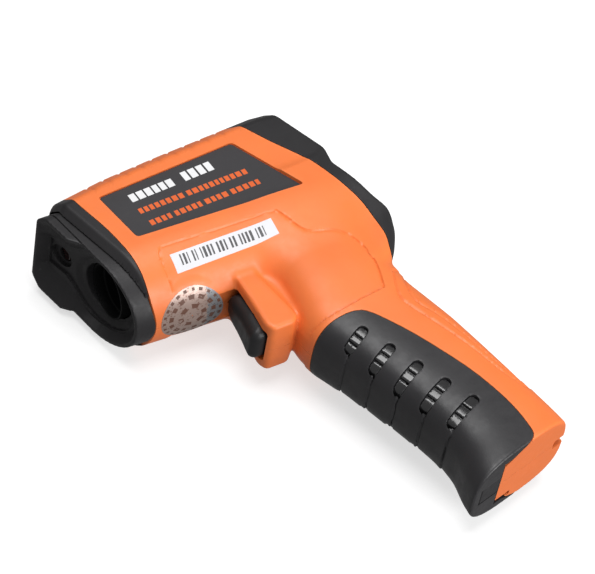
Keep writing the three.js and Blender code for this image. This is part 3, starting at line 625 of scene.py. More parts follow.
# The gloss pads' light edge colour is mostly a painted highlight: it stands for the glint of the light along
# the pads' ridges.
GLOSS = shade("gloss_pads", (0.016, 0.0155, 0.0165), 0.16, grain=0.05, mottle=0.1, smudge=0.04,
              edge_wear_and_highlight=(0.16, 0.16, 0.165), edge_wear_and_highlight_share=0.7, sheen=0.9, swell=0.05)
TRIGGER = shade("trigger_plastic", (0.014, 0.0135, 0.0145), 0.4, grain=0.2, mottle=0.15,
                edge_wear_and_highlight=(0.04, 0.04, 0.042), sheen=0.35)
BAFFLE = shade("flat_black", (0.004, 0.004, 0.0045), 0.6, grain=0.5, mottle=0.2, brushed=True, sheen=0.15)
LENS = shade("filter_glass", (0.012, 0.012, 0.018), 0.06, grain=0.03, mottle=0.1, smudge=0.03, sheen=0.9)
LASER_GLASS = shade("laser_glass", (0.015, 0.004, 0.004), 0.07, grain=0.03, smudge=0.03, sheen=0.8)
WINDOW = shade("clear_window", (0.9, 0.93, 0.9), 0.05, grain=0.02, mottle=0.01, smudge=0.03, clear=1.0,
               swell=0.02)
PANEL_GREY = shade("display_panel", (0.36, 0.41, 0.33), 0.3, grain=0.08, mottle=0.03)
DIGIT = shade("display_digit", (0.02, 0.022, 0.02), 0.35, grain=0.1)
WHITE = shade("white_plastic", (0.72, 0.72, 0.70), 0.45, grain=0.3)
RUBBER = shade("key_rubber", (0.045, 0.044, 0.047), 0.65, grain=0.5, grain_size=0.2, edge_wear_and_highlight=(0.14, 0.14, 0.145))
KEY_PRINT = shade("key_print", (0.75, 0.75, 0.74), 0.5, grain=0.3)
STEEL = shade("steel", (0.55, 0.56, 0.58), 0.28, grain=0.15, metallic=1.0, brushed=True,
              edge_wear_and_highlight=(0.75, 0.75, 0.76))
BRASS = shade("brass", (0.60, 0.42, 0.16), 0.3, grain=0.15, metallic=1.0, brushed=True)
BOARD = shade("circuit_board", (0.018, 0.13, 0.05), 0.35, grain=0.3, speck=((0.45, 0.40, 0.22), 0.45))
CHIP = shade("chip_resin", (0.018, 0.018, 0.019), 0.5, grain=0.5)
BATTERY_CAN = shade("battery_can", (0.05, 0.052, 0.06), 0.25, grain=0.1, metallic=0.6, brushed=True)
LABEL_FILM = shade("label_film", (0.031, 0.029, 0.032), 0.5, grain=0.5, grain_size=0.25, mottle=0.08)
INK_WHITE = shade("ink_white", (0.78, 0.78, 0.79), 0.5, grain=0.3)
INK_ORANGE = shade("ink_orange", (0.72, 0.12, 0.02), 0.5, grain=0.3)
INK_GREY = shade("ink_grey", (0.08, 0.08, 0.085), 0.5, grain=0.3)
INK_BROWN = shade("ink_brown", (0.13, 0.055, 0.035), 0.45, grain=0.3)
PAPER = shade("sticker_paper", (0.68, 0.68, 0.71), 0.45, grain=0.4, grain_size=0.5, mottle=0.03)
FOIL = shade("sticker_foil", (0.40, 0.29, 0.25), 0.3, grain=0.3, mottle=0.12, metallic=0.35,
             speck=((0.20, 0.10, 0.07), 0.9))
FOIL_GREY = shade("sticker_foil_grey", (0.26, 0.26, 0.27), 0.35, grain=0.3, mottle=0.15, metallic=0.35,
                  speck=((0.08, 0.08, 0.085), 1.3))
FLOOR = shade("light_table", (0.5, 0.5, 0.5), 0.85, grain=0.1, grain_size=1.5, mottle=0.004, swell=0.0,
              sheen=0.0)
FLOOR_GLOW = 0.62
floor_shader = FLOOR.node_tree.nodes["Principled BSDF"]
floor_shader.inputs["Emission Color"].default_value = (1, 1, 1, 1)
floor_shader.inputs["Emission Strength"].default_value = FLOOR_GLOW


# ------------------------------------------------------------------ casing halves
SCREWS = [(26, -40.5), (88, -38.5), (61.5, -43), (104.5, -136)]
HEAD_Z = -11.6  # floor of the screws' counterbores
POST_RADIUS, COUNTERBORE_RADIUS, PILOT_RADIUS, PILOT_END = 3.0, 2.9, 1.7, 8.0
LABEL_DEPTH, LABEL_GAP = 0.9, 0.25
TRIGGER_HALF = 6.6
TRIGGER_SLOT_AT, TRIGGER_SLOT_HALF = (52, -57.25), (14, 10.65)
RAKE = math.atan2(14.2, 69.2)
STRAP_AT, STRAP_HALF = (114.2, -140.5), (3.4, 7.0, 1.9)
FLOOR_THICK = 2.8
NOTCH_AT, NOTCH_HALF = (89.8, -145.0, -9.4), (3.6, 4.0, 0.9)
LUG_RADIUS, LUG_HALF = 4.1, 3.4
LUG_ROOM_RADIUS, LUG_ROOM_HALF = 4.5, 3.7  # the space that the door leaves for the lug


def strap_slot(x, y, z):
    """The lanyard hole through the handle's rear corner."""
    u, v = turn(x, y, RAKE, *STRAP_AT)
    return brick(u, v, z, STRAP_HALF, 0.8)


def floor_plate(x, y, z):
    """The casing's floor inside the base, which ends in a tongue round the door's hinge."""
    plate = cut(body(x, y, z), base_plane(x, y) + FLOOR_THICK)
    plate = meet(plate, tongue(x, z), KNUCKLE + 0.3 - from_pin(x, y))
    return cut(plate, brick(x - NOTCH_AT[0], y - NOTCH_AT[1], z - NOTCH_AT[2], NOTCH_HALF, 0.3))


def from_pin(x, y):
    return np.hypot(x - HINGE_X, y - HINGE_Y)


def hinge_lug(x, y, z):
    """A black lug that fills the gap in the door's foot, from the pin down to the base."""
    neck = brick(x - 85, y + 145.2, z * 0, (4.5, 3.0, 1.0))
    ear = join(from_pin(x, y) - LUG_RADIUS, neck)
    return meet(ear, np.abs(z) - LUG_HALF, body(x, y, z) + 0.1, PIN_RADIUS - from_pin(x, y))


def pin_bore(x, y, z):
    return meet(from_pin(x, y) - PIN_RADIUS, np.abs(z) - PIN_HALF)


def screw_posts(x, y, radius):
    """Round columns across the casing on the screws' axes."""
    return np.min([np.hypot(x - sx, y - sy) for sx, sy in SCREWS], axis=0) - radius


def casing(x, y, z):
    """Both casing halves in one: walls, screw posts and floor, with every opening taken out."""
    outside = body_detail(x, y, z)
    region = orange_region(x, y)
    walls = cut(outside, hollow(x, y, z))
    walls = join(walls, meet(screw_posts(x, y, POST_RADIUS), outside))
    walls = meet(walls, region)
    walls = join(walls, floor_plate(x, y, z))
    walls = cut(walls, meet(polygon(x, y, LABEL) - LABEL_GAP, HALF - LABEL_DEPTH - np.abs(z)))
    u, v = x - TRIGGER_SLOT_AT[0], y - TRIGGER_SLOT_AT[1]
    walls = soft_max(walls, -brick(u, v, z, (*TRIGGER_SLOT_HALF, TRIGGER_HALF + 0.3), 1.5), 0.4)
    counterbores = meet(screw_posts(x, y, COUNTERBORE_RADIUS), z - HEAD_Z)
    pilot_holes = meet(screw_posts(x, y, PILOT_RADIUS), z - PILOT_END)
    return cut(walls, strap_slot(x, y, z), pin_bore(x, y, z), counterbores, pilot_holes)


def shell(side):
    """One casing half: side is 1 for the left one and -1 for the right one."""
    return lambda x, y, z: meet(casing(x, y, z), SEAM / 2 - side * z)


CASING_FINISH = {"slot": "orange_housing", "material": ORANGE}
moulded("casing_left", shell(1), (9, -152, -1), (120, 12, 21.5), node="shell_left", **CASING_FINISH)
moulded("casing_right", shell(-1), (9, -152, -21.5), (120, 12, 1), node="shell_right", **CASING_FINISH)
BLACK_FINISH = {"slot": "black_housing", "material": BLACK}
moulded("hinge_lug", hinge_lug, (76, -148, -4), (91, -139, 4), FINER, **BLACK_FINISH)


# ------------------------------------------------------------------ rear cap with display and keys
DISPLAY_TILT = math.atan2(6.0, 15.5)
DISPLAY_AT = (94.6, -5.15)
DISPLAY_HALF = (13.5, 7.6)
KEY_HALF_HIGH = 2.9
KEY_CROWN = (0.035, 0.02)  # how fast a key's top falls away along and across it
KEY_FACE_TOP, KEY_FACE_FOOT = (98.6, -25.0), (103.2, -38.2)
KEY_FACE_LEAN = (KEY_FACE_FOOT[0] - KEY_FACE_TOP[0]) / (KEY_FACE_TOP[1] - KEY_FACE_FOOT[1])
KEY_TILT = math.atan(KEY_FACE_LEAN)
KEYS = {  # height, place from side to side, half width
    "up": (-29.2, 7.2, 4.1), "down": (-29.2, -7.2, 4.1), "mode": (-36.0, 0.0, 4.6),
}


def on_display(x, y):
    """Distance out from the display face and height along it."""
    return turn(x, y, DISPLAY_TILT, *DISPLAY_AT)


def key_middle(height):
    """How far back the slanted key face is at a height."""
    return KEY_FACE_TOP[0] + (KEY_FACE_TOP[1] - height) * KEY_FACE_LEAN


def on_key(x, y, key):
    """Distance out from the key face and height along it, from a key's middle."""
    height = KEYS[key][0]
    return turn(x, y, KEY_TILT, key_middle(height), height)


def oval(v, w, half_high, half_wide):
    """Negative inside an ellipse."""
    return (np.hypot(v / half_high, w / half_wide) - 1.0) * half_high


def bezel(x, y, z):
    """The rear cap, open for the display and dished round each key."""
    inside = meet(body(x, y, z), polygon(x, y, BEZEL_CUT) + SEAM)
    inside = soft_max(inside, -polygon(x, y, REAR_CUT), 1.0)
    cavity = cut(hollow(x, y, z), polygon(x + WALL, y, REAR_CUT))
    inside = cut(inside, cavity)
    u, v = on_display(x, y)
    frame_gap = meet(np.abs(z) - DISPLAY_HALF[0], np.abs(v) - DISPLAY_HALF[1])
    flared = frame_gap - 0.3 - 0.9 * (u + 0.4)
    opening = meet(frame_gap - 0.3, flared, np.abs(u - 2.4) - 5.6)
    opening = join(opening, meet(flared, np.abs(u - 1.6) - 2.0))
    inside = soft_max(inside, -opening, 0.3)
    for key in KEYS:
        u, v = on_key(x, y, key)
        side, half_wide = KEYS[key][1:]
        hole = meet(oval(v, z - side, KEY_HALF_HIGH + 0.3, half_wide + 0.3), np.abs(u + 1) - 7)
        dish = oval(v, z - side, KEY_HALF_HIGH + 1.0, half_wide + 1.0)
        inside = soft_max(inside, -join(hole, cut(dish, u + 0.35)), 0.25)
    return inside


moulded("rear_cap", bezel, (70, -63, -21.5), (108.6, 12, 21.5), FINER, node="rear_bezel", **BLACK_FINISH)


def window(x, y, z):
    u, v = on_display(x, y)
    return brick(u + 1.2, v, z, (0.7, DISPLAY_HALF[1], DISPLAY_HALF[0]), 0.3)


def panel(x, y, z):
    u, v = on_display(x, y)
    return brick(u + 3.4, v, z, (1.0, DISPLAY_HALF[1] - 0.8, DISPLAY_HALF[0] - 0.8), 0.2)


moulded("display_window", window, (86, -15, -14), (100, 5, 14), FINER, node="lcd_window",
        slot="display_window", material=WINDOW)
moulded("display_panel", panel, (86, -15, -14), (100, 5, 14), FINER, node="lcd_module",
        slot="display_panel", material=PANEL_GREY)


def boxes(name, cells, place, depth, **finish):
    """Thin plates in one mesh: a cell is a list of corners in a plane that place() takes to the drawing."""
    corners, levels, faces = [], [], []
    for cell in cells:
        start, count = len(corners), len(cell)
        corners += [*cell, *cell]
        levels += [-0.05] * count + [depth] * count
        faces.append([start + i for i in range(count)][::-1])
        faces.append([start + count + i for i in range(count)])
        for i in range(count):
            j = (i + 1) % count
            faces.append([start + i, start + j, start + count + j, start + count + i])
    a, b = np.array(corners, float).T
    vertices = np.stack(np.broadcast_arrays(*place(a, b, np.array(levels))), 1)
    return mesh_piece(name, vertices, faces, **finish)


def rectangle(a, b, wide, high):
    """Corners of a rectangle from its lower left corner."""
    return [(a, b), (a + wide, b), (a + wide, b + high), (a, b + high)]


SEGMENTS = {  # left, bottom, wide, high of each bar of a seven-bar digit, in units of its width
    "a": (0.12, 1.72, 0.76, 0.16), "g": (0.12, 0.86, 0.76, 0.16), "d": (0.12, 0.0, 0.76, 0.16),
    "f": (0.0, 0.98, 0.16, 0.8), "b": (0.84, 0.98, 0.16, 0.8), "e": (0.0, 0.1, 0.16, 0.8),
    "c": (0.84, 0.1, 0.16, 0.8),
}
LIT = ["abged", "afgcd", "abcdef"]  # a plain reading
DIGIT_WIDTH = 4.6


def on_panel(a, b, level):
    c, s = math.cos(DISPLAY_TILT), math.sin(DISPLAY_TILT)
    u = -2.4 + level
    return (DISPLAY_AT[0] + c * u - s * b, DISPLAY_AT[1] + s * u + c * b, a)


cells = []
for place_index, lit in enumerate(LIT):
    start = -9.0 + 6.0 * place_index + (1.2 if place_index == 2 else 0.0)
    for bar in lit:
        left, low, wide, high = (share * DIGIT_WIDTH for share in SEGMENTS[bar])
        cells.append(rectangle(-(start + left + wide), low - DIGIT_WIDTH, wide, high))
cells.append(rectangle(-4.35, -DIGIT_WIDTH, 0.8, 0.8))
cells += [rectangle(-11.6 + 2.2 * i, 5.2, 1.5, 0.7) for i in range(3)]
boxes("display_digits", cells, on_panel, 0.08, slot="display_panel", material=DIGIT)


def key_cap(key):
    """An oval rubber key with a crowned top."""
    def cap(x, y, z):
        u, v = on_key(x, y, key)
        w = z - KEYS[key][1]
        crown = u - 1.0 + KEY_CROWN[0] * v ** 2 + KEY_CROWN[1] * w ** 2
        return soft_max(meet(oval(v, w, KEY_HALF_HIGH, KEYS[key][2]), -3.6 - u), crown, 0.5)
    return cap


KEY_MARKS = {
    "up": [[(1.2, -0.7), (0, 0.9), (-1.2, -0.7)]],
    "down": [[(0, -0.9), (1.2, 0.7), (-1.2, 0.7)]],
    "mode": [rectangle(start, -0.9, 0.6, 1.8) for start in (-1.6, -0.3, 1.0)],
}
for key, (height, side, _) in KEYS.items():
    middle = key_middle(height)
    low, high = (middle - 6, height - 4.5, side - 6), (middle + 4, height + 4.5, side + 6)
    moulded("key_" + key, key_cap(key), low, high, FINER * 0.75, body_name="key_" + key, node="button_" + key,
            slot="key_rubber", material=RUBBER)

    def on_cap(a, b, level, middle=middle, height=height, side=side):
        c, s = math.cos(KEY_TILT), math.sin(KEY_TILT)
        u = 0.98 - KEY_CROWN[0] * b ** 2 - KEY_CROWN[1] * a ** 2 + level
        return (middle + c * u - s * b, height + s * u + c * b, side + a)

    boxes("key_mark_" + key, KEY_MARKS[key], on_cap, 0.04, body_name="key_" + key, slot="key_rubber",
          material=KEY_PRINT)


# ------------------------------------------------------------------ grip door
SLOTS = 5
SLOT_INNER = np.array([(73.4, -83.4), (91.0, -121.4)])
SLOT_TIP = np.array([(62.0, -89.4), (76.8, -127.9)])
SLOT_LEAN = np.array((-1.9, 0.9))  # how far a slot's tip lies from the step between the rests there
SLOT_HALF = 1.9
SLOT_DEPTH = 1.5
SCALLOP = 0.42  # height of the step between two finger rests
RISE_SHARE = 0.93  # of a finger rest's length, over which it rises before it drops back
FOOT_HEIGHT = 14.0  # of the room above the hinge
EAR_RADIUS, EAR_AT, EAR_HALF = 3.1, 6.0, 2.0
SLOT_FEET = (0.36, 0.30, 0.25, 0.23, 0.22)  # where each slot's foot is, as a share of the way from its tip
PADS = [(0.08, 0.32), (0.36, 0.60), (0.64, 0.98)]  # glossy pads in each slot, as shares of its open length


def slot_number(x, y):
    """A running number along the finger side: whole at each step between two finger rests."""
    tip, along = SLOT_TIP[0], (SLOT_TIP[1] - SLOT_TIP[0]) / (SLOTS - 1)
    pitch = np.hypot(*along)
    along = along / pitch
    aim = SLOT_INNER[0] - SLOT_TIP[0]
    aim = aim / np.hypot(*aim)
    lean = float(along @ aim)
    forward = (x - tip[0]) * along[0] + (y - tip[1]) * along[1]
    sideways = (x - tip[0]) * aim[0] + (y - tip[1]) * aim[1]
    return (forward - lean * sideways) / pitch


def scalloped(x, y, z):
    """The grip's outside, with overlapping finger rests in front and slots sunk in its cheeks."""
    outside = body(x, y, z)
    number = slot_number(x, y)
    near_front = np.clip(1.0 - (x - column(y, 1) - 1.5) / 6.5, 0.0, 1.0)
    part = number - np.floor(number)
    saw = np.where(part < RISE_SHARE, part / RISE_SHARE, (1.0 - part) / (1.0 - RISE_SHARE))
    active = np.clip((number + 0.9) / 0.3, 0, 1) * np.clip((4.6 - number) / 0.5, 0, 1)
    outside = outside - SCALLOP * near_front * active * (saw - 0.5)
    for i in range(SLOTS):
        along, across, length = on_slot(x, y, i)
        foot = SLOT_FEET[i] * length
        capsule = slot_capsule(along, across, foot, length)
        outside = soft_max(outside, join(-capsule, outside + SLOT_DEPTH), 0.2)
    crease = meet(np.abs(number - np.round(number)) - 0.03, np.abs(number - 2.0) - 2.1) * 7.0
    crease = meet(crease, x - column(y, 1) - 5.5)
    outside = soft_max(outside, join(-crease, outside + 0.16), 0.1)
    return outside


def on_slot(x, y, i):
    """Distance along a slot from its tip, distance across it, and its length."""
    share = i / (SLOTS - 1)
    inner = SLOT_INNER[0] * (1 - share) + SLOT_INNER[1] * share
    tip = SLOT_TIP[0] * (1 - share) + SLOT_TIP[1] * share + SLOT_LEAN
    length = float(np.hypot(*(inner - tip)))
    ax, ay = (inner - tip) / length
    return (x - tip[0]) * ax + (y - tip[1]) * ay, (y - tip[1]) * ax - (x - tip[0]) * ay, length


def slot_capsule(along, across, foot, length):
    """Negative over a slot: a bar with round ends between its foot and its inner end."""
    return np.hypot(across, along - np.clip(along, foot + SLOT_HALF, length - SLOT_HALF)) - SLOT_HALF


def slot_pads(x, y, z):
    """Glossy pads that stand in the slots like the treads of a stair."""
    skin = body(x, y, z)
    pads = np.full(np.broadcast_shapes(x.shape, y.shape, z.shape), 9.0, np.float32)
    for i in range(SLOTS):
        along, across, length = on_slot(x, y, i)
        foot = SLOT_FEET[i] * length
        capsule = slot_capsule(along, across, foot, length) + 0.22
        for start, end in PADS:
            low, high = (foot + share * (length - foot) for share in (start, end))
            tread = 0.35 + 0.5 * np.clip((along - low) / (high - low), 0.0, 1.0)
            pad = soft_max(meet(low - along, along - high), skin + tread, 0.5)
            pads = join(pads, soft_max(pad, capsule, 0.2))
    return meet(pads, -skin - SLOT_DEPTH - 0.3, 6.0 - np.abs(z))


def door(x, y, z):
    """The grip: a shell with a foot cut away round the casing's tongue, and two ears on the hinge pin."""
    inside = cut(meet(scalloped(x, y, z), polygon(x, y, DOOR_CUT) + SEAM), hollow(x, y, z))
    r = from_pin(x, y)
    low = meet(tongue(x, z, 0.35), y - (HINGE_Y + 3.6))
    below = y - (HINGE_Y + FOOT_HEIGHT)
    foot = meet(np.abs(z) - 10.2, np.abs(x - 92.5) - 8.5, below)
    eye = meet(r - LUG_ROOM_RADIUS, np.abs(z) - LUG_ROOM_HALF)
    arm = meet(np.abs(z) - LUG_ROOM_HALF, np.abs(x - 86.5) - 6.0, below)
    inside = cut(inside, meet(join(low, foot), KNUCKLE - r), eye, arm)
    ears = join(r - EAR_RADIUS, brick(x - 76.75, y + 144.15, z * 0, (3.25, 2.25, 1.0)))
    ears = meet(ears, np.abs(np.abs(z) - EAR_AT) - EAR_HALF, body(x, y, z) + 0.1)
    return cut(join(inside, ears), pin_bore(x, y, z))


moulded("grip_door", door, (52, -152, -18), (108, -72, 18), FINER, body_name="door", node="battery_door",
        slot="soft_grip", material=GRIP)
moulded("slot_pads", slot_pads, (58, -134, -15), (96, -78, 15), FINER * 0.75, body_name="door",
        slot="soft_grip", material=GLOSS)


# ------------------------------------------------------------------ front collar and cowl
COLLAR_FRONT = [(4.6, 12), (5.4, -4), (11, -34), (14.4, -52)]
RIM = [(-2, 12), (0, 0), (3.2, -14.5), (6.5, -17.8), (8.4, -27), (11.2, -40), (15, -60)]
PLATE_X = 6.4
PLATE_SLOPE = 5.7 / 19.5
HOOD_RIM = 1.2  # thickness of the hood at its rim
CREASE = 0.55  # gap between the hood and the collar round it
BOWL_RADIUS, BOWL_DEPTH, BORE_RADIUS = 13.2, 1.3, 10.0  # the dish round the lens, and its hole
SKIRT_RADIUS, SKIRT_END = 11.4, 19.0  # the sleeve behind that hole
LASER_BOWL_RADIUS, LASER_BORE_RADIUS = 4.0, 2.6


def plate_face(x, y):
    """Negative in front of the raked recess floor."""
    return (x - PLATE_X + PLATE_SLOPE * (y - LASER_Y)) / math.hypot(1, PLATE_SLOPE)


def cowl_outside(x, y, z, inset=0.0):
    """The hood's outside, or a surface that far inside it."""
    return section(x, y, z, 0.05, COWL_HALF, 3.8, 0.9) + inset


def keyhole(y, z, grow=0.0):
    """The recess seen from the front: narrow round the laser, wide round the lens."""
    a = np.abs(z)
    lens = np.hypot(z, y - OPTIC_Y) - 14.0 - grow
    slot_side = a - (6.2 + grow + 7.6 * np.clip((LASER_Y - 3.5 - y) / 12.0, 0.0, 1.0))
    slot = meet(slot_side, y - (LASER_Y + 4.4 + grow), OPTIC_Y - y)
    return soft_min(lens, slot * 0.85, 1.0)


def hood_mouth(x, y, z):
    """The hood's inside: it narrows from just within the rim to the keyhole in the recess floor."""
    rim = np.interp(-y, [-p[1] for p in RIM], [p[0] for p in RIM])
    floor = PLATE_X - PLATE_SLOPE * (y - LASER_Y)
    share = np.clip((floor - x) / np.maximum(floor - rim, 1.0), 0.0, 1.0)
    mouth = keyhole(y, z) * (1.0 - share) + cowl_outside(x, y, z, HOOD_RIM) * share
    face = plate_face(x, y)
    return join(meet(mouth, face + 0.9), meet(keyhole(y, z, -0.3), face))


def cowl(x, y, z):
    """The hood with its recess floor, the dish and sleeve of the lens, and the laser's hole."""
    solid = meet(cowl_outside(x, y, z), polygon(x, y, COLLAR_CUT) + SEAM)
    solid = soft_max(solid, -polygon(x, y, side_region(RIM, -60)), 0.5)
    solid = soft_max(solid, -hood_mouth(x, y, z), 0.2)
    back = meet(cowl_outside(x, y, z, WALL), WALL - plate_face(x, y))
    solid = cut(solid, back)
    r = np.hypot(z, y - OPTIC_Y)
    bowl = plate_face(x, y) - BOWL_DEPTH * np.clip((BOWL_RADIUS - r) / 2.2, 0.0, 1.0)
    solid = soft_max(solid, -meet(r - BOWL_RADIUS, bowl), 0.25)
    skirt = meet(r - SKIRT_RADIUS, x - SKIRT_END, 1.0 - plate_face(x, y))
    solid = soft_max(join(solid, skirt), BORE_RADIUS - r, 0.5)
    r = np.hypot(z, (y - LASER_Y) * 0.92)
    solid = soft_max(solid, -meet(r - LASER_BOWL_RADIUS, plate_face(x, y) - 1.4), 0.25)
    bead = cowl_outside(x, y, z, 0.5)
    line = polygon(x, y, side_region([(px - 1.5, py) for px, py in COLLAR_FRONT], -60))
    solid = cut(solid, cut(np.abs(line) - 0.3, bead))
    return meet(solid, LASER_BORE_RADIUS - np.hypot(z, y - LASER_Y))


def collar(x, y, z):
    """The black ring between the hood and the casing, with a ramp down to the hood."""
    solid = meet(body(x, y, z), polygon(x, y, COLLAR_CUT) + SEAM)
    ramp = (x - 5.0 + 0.28 * np.minimum(y, 0.0)) * 0.9
    solid = soft_max(solid, section(x, y, z, top_line(x) - 1.2, COWL_HALF + 0.9, CHAMFER, 1.0) - ramp, 0.5)
    solid = soft_max(solid, -polygon(x, y, side_region(COLLAR_FRONT, -60)), 0.4)
    return soft_max(solid, CREASE - cowl_outside(x, y, z), 0.3)


moulded("cowl", cowl, (-2, -50, -18.5), (20, 3, 18.5), FINER, node="front_cowl", **BLACK_FINISH)
moulded("collar", collar, (3, -50, -21), (20, 6, 21), FINER, node="front_collar", **BLACK_FINISH)


# ------------------------------------------------------------------ optics
TURNED_SEGMENTS = 96
LEAST_RADIUS = 0.002  # stands for the axis itself, so that no face folds to nothing


def turned(name, profile, height, node, slot, material):
    """A turned piece: [radius, distance] pairs, in order round the section, turned about X at a height."""
    vertices, faces = [], []
    for i in range(TURNED_SEGMENTS):
        angle = 2 * math.pi * i / TURNED_SEGMENTS
        for r, x in profile:
            r = max(r, LEAST_RADIUS)
            vertices.append((x, height + r * math.cos(angle), r * math.sin(angle)))
    n = len(profile)
    for i in range(TURNED_SEGMENTS):
        after = (i + 1) % TURNED_SEGMENTS
        for k in range(n):
            a, b = i * n + k, i * n + (k + 1) % n
            c, d = after * n + (k + 1) % n, after * n + k
            faces.append([a, b, c, d])
    return mesh_piece(name, np.array(vertices), faces, node=node, slot=slot, material=material)


tube = [(9.5, 12.6), (9.6, 12.8), (9.6, 38), (6.2, 38), (6.2, 24), (7.6, 24), (7.6, 21)]
threads = [(7.6 + 0.35 * (k % 2), 21 - 0.5 * k) for k in range(1, 5)]
tube += [*threads, (8.4, 19), (8.4, 16.4), (8.9, 16.0), (8.9, 12.8), (9.0, 12.6)]
turned("optic_tube", tube, OPTIC_Y, "lens_tube", "lens_tube", BAFFLE)
turned("lens_ring", [(7.3, 20.5), (7.3, 23.7), (5.4, 23.7), (5.4, 21.3), (6.0, 20.5)], OPTIC_Y,
       "lens_retaining_ring", "lens_tube", BAFFLE)
dome = [(5.9 * math.sin(t), 24.2 + 1.6 * (1 - math.cos(t))) for t in np.linspace(0, math.pi / 2, 9)]
turned("lens_filter", [*dome, (5.9, 27.2), (0, 27.2)], OPTIC_Y, "ir_lens", "lens", LENS)
turned("laser_barrel", [(0, 10.3), (1.0, 10.2), (1.2, 10.5), (2.2, 10.2), (2.2, 12), (3.2, 12), (3.3, 12.1),
                        (3.3, 25), (0, 25)], LASER_Y, "laser_module", "brass", BRASS)
turned("laser_window", [(0, 8.0), (2.0, 8.0), (2.25, 8.2), (2.25, 9.5), (0, 9.5)], LASER_Y, "laser_window",
       "laser_glass", LASER_GLASS)


# ------------------------------------------------------------------ trigger and its spring
TRIGGER_OUTLINE = smooth_outline(
    [(45.6, -47.2), (44.6, -51.3), (44.4, -58), (43, -63.6), (42.9, -65.8), (44.8, -67.4), (60, -67.4),
     (60, -47.2)],
    [0.8, 2.5, 5, 2.5, 1.2, 1.2, 0, 0])
SPRING_Y = -53.5


def trigger(x, y, z):
    """A finger blade: rounded all round, and a little narrower at its top."""
    half = TRIGGER_HALF - 0.9 * np.clip((y + 58.0) / 10.0, 0.0, 1.0) * np.clip((52.0 - x) / 4.0, 0.0, 1.0)
    return soft_max(polygon(x, y, TRIGGER_OUTLINE), (np.abs(z) - half) * 0.98, 4.2)


moulded("trigger_lever", trigger, (38, -73, -8), (62, -45, 8), FINER, body_name="trigger", node="trigger",
        slot="trigger_plastic", material=TRIGGER)


def coil(name, start, end, height, coil_radius, wire, turns):
    """A round-wire compression spring along X."""
    steps, sides = int(turns * 28), 10
    vertices = []
    for i in range(steps + 1):
        share = i / steps
        angle = 2 * math.pi * turns * share
        ease = share - 0.035 * math.sin(2 * math.pi * share)
        centre = np.array([start + (end - start) * ease, height + coil_radius * math.cos(angle),
                           coil_radius * math.sin(angle)])
        out = np.array([0, math.cos(angle), math.sin(angle)])
        for k in range(sides):
            round_wire = 2 * math.pi * k / sides
            aside = math.cos(round_wire) * out + math.sin(round_wire) * np.array([1, 0, 0])
            vertices.append(centre + wire * aside)
    faces = []
    for i in range(steps):
        for k in range(sides):
            a, b = i * sides + k, i * sides + (k + 1) % sides
            faces.append([a, a + sides, b + sides, b])
    faces.append(list(range(sides)))
    faces.append([steps * sides + k for k in range(sides)][::-1])
    return mesh_piece(name, np.array(vertices), faces, node="trigger_spring", slot="steel", material=STEEL)


spring = coil("return_spring", 61.0, 69.2, SPRING_Y, 2.4, 0.38, 5)
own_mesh(spring)


# ------------------------------------------------------------------ battery and its snap
BATTERY_LEAN = math.atan2(14.2, 66)
BATTERY_BOTTOM = (96.8, -131.3)
BATTERY_HALF, BATTERY_HALF_HEIGHT = (13.25, 1.0, 8.75), 22.75
CRIMP_HEIGHT = 44.4  # of the groove round the battery's top
POLE = 6.4  # from the battery's middle to each of its two poles


def in_handle(x, y):
    """Across and up in the battery's own frame, from the middle of its bottom."""
    return turn(x, y, BATTERY_LEAN, *BATTERY_BOTTOM)


def battery(x, y, z):
    """A nine-volt block: its can with a crimped top, and two snap poles."""
    u, v = in_handle(x, y)
    ends = np.abs(v - BATTERY_HALF_HEIGHT) - BATTERY_HALF_HEIGHT
    can = soft_max(brick(u, np.zeros_like(v), z, BATTERY_HALF, 2.4), ends, 0.5)
    crimp = np.abs(v - CRIMP_HEIGHT) - 0.25
    can = soft_max(can, -cut(crimp, can + 0.35), 0.2)
    male = meet(np.hypot(u + POLE, z) - 2.6, v - 48.4)
    cup = meet(np.hypot(u - POLE, z) - 2.5, 46.4 - v)
    female = cut(meet(np.hypot(u - POLE, z) - 3.4, v - 48.2), cup)
    return join(can, meet(join(male, female), 40 - v))


def snap(x, y, z):
    """The snap connector's pad, with a hole over each pole."""
    u, v = in_handle(x, y)
    pad = soft_max(brick(u, np.zeros_like(v), z, (12.4, 1.0, 6.4), 2.4), np.abs(v - 48.0) - 2.1, 0.4)
    return cut(pad, np.hypot(u + POLE, z) - 3.0, np.hypot(u - POLE, z) - 3.8)


moulded("battery_block", battery, (70, -136, -9.5), (112, -80, 9.5), node="battery", slot="battery_can",
        material=BATTERY_CAN)
moulded("battery_snap_pad", snap, (70, -92, -7.5), (104, -78, 7.5), node="battery_snap", slot="chip",
        material=CHIP)


# ------------------------------------------------------------------ screws
SCREW_HEAD_RADIUS, SHANK_RADIUS = 2.5, 1.3
SCREW_CROWN, SCREW_SEAT, RECESS_FLOOR = -13.6, -11.9, -12.6  # heights along the screw
BLADE_HALF, BLADE_REACH = 0.35, 1.6
SHANK_MIDDLE, SHANK_HALF_LENGTH = -2.75, 9.75


def screw(sx, sy):
    """A cross-head screw whose head is trimmed where the casing's skin dips below it."""
    def shape(x, y, z):
        r = np.hypot(x - sx, y - sy)
        head = meet(r - SCREW_HEAD_RADIUS, SCREW_CROWN - z + 0.03 * r ** 2, z - SCREW_SEAT)
        a, b = np.abs(x - sx), np.abs(y - sy)
        blades = join(meet(a - BLADE_HALF, b - BLADE_REACH), meet(b - BLADE_HALF, a - BLADE_REACH))
        head = cut(meet(head, body(x, y, z) + 0.2), meet(blades, z - RECESS_FLOOR))
        return join(head, meet(r - SHANK_RADIUS, np.abs(z - SHANK_MIDDLE) - SHANK_HALF_LENGTH))
    return shape


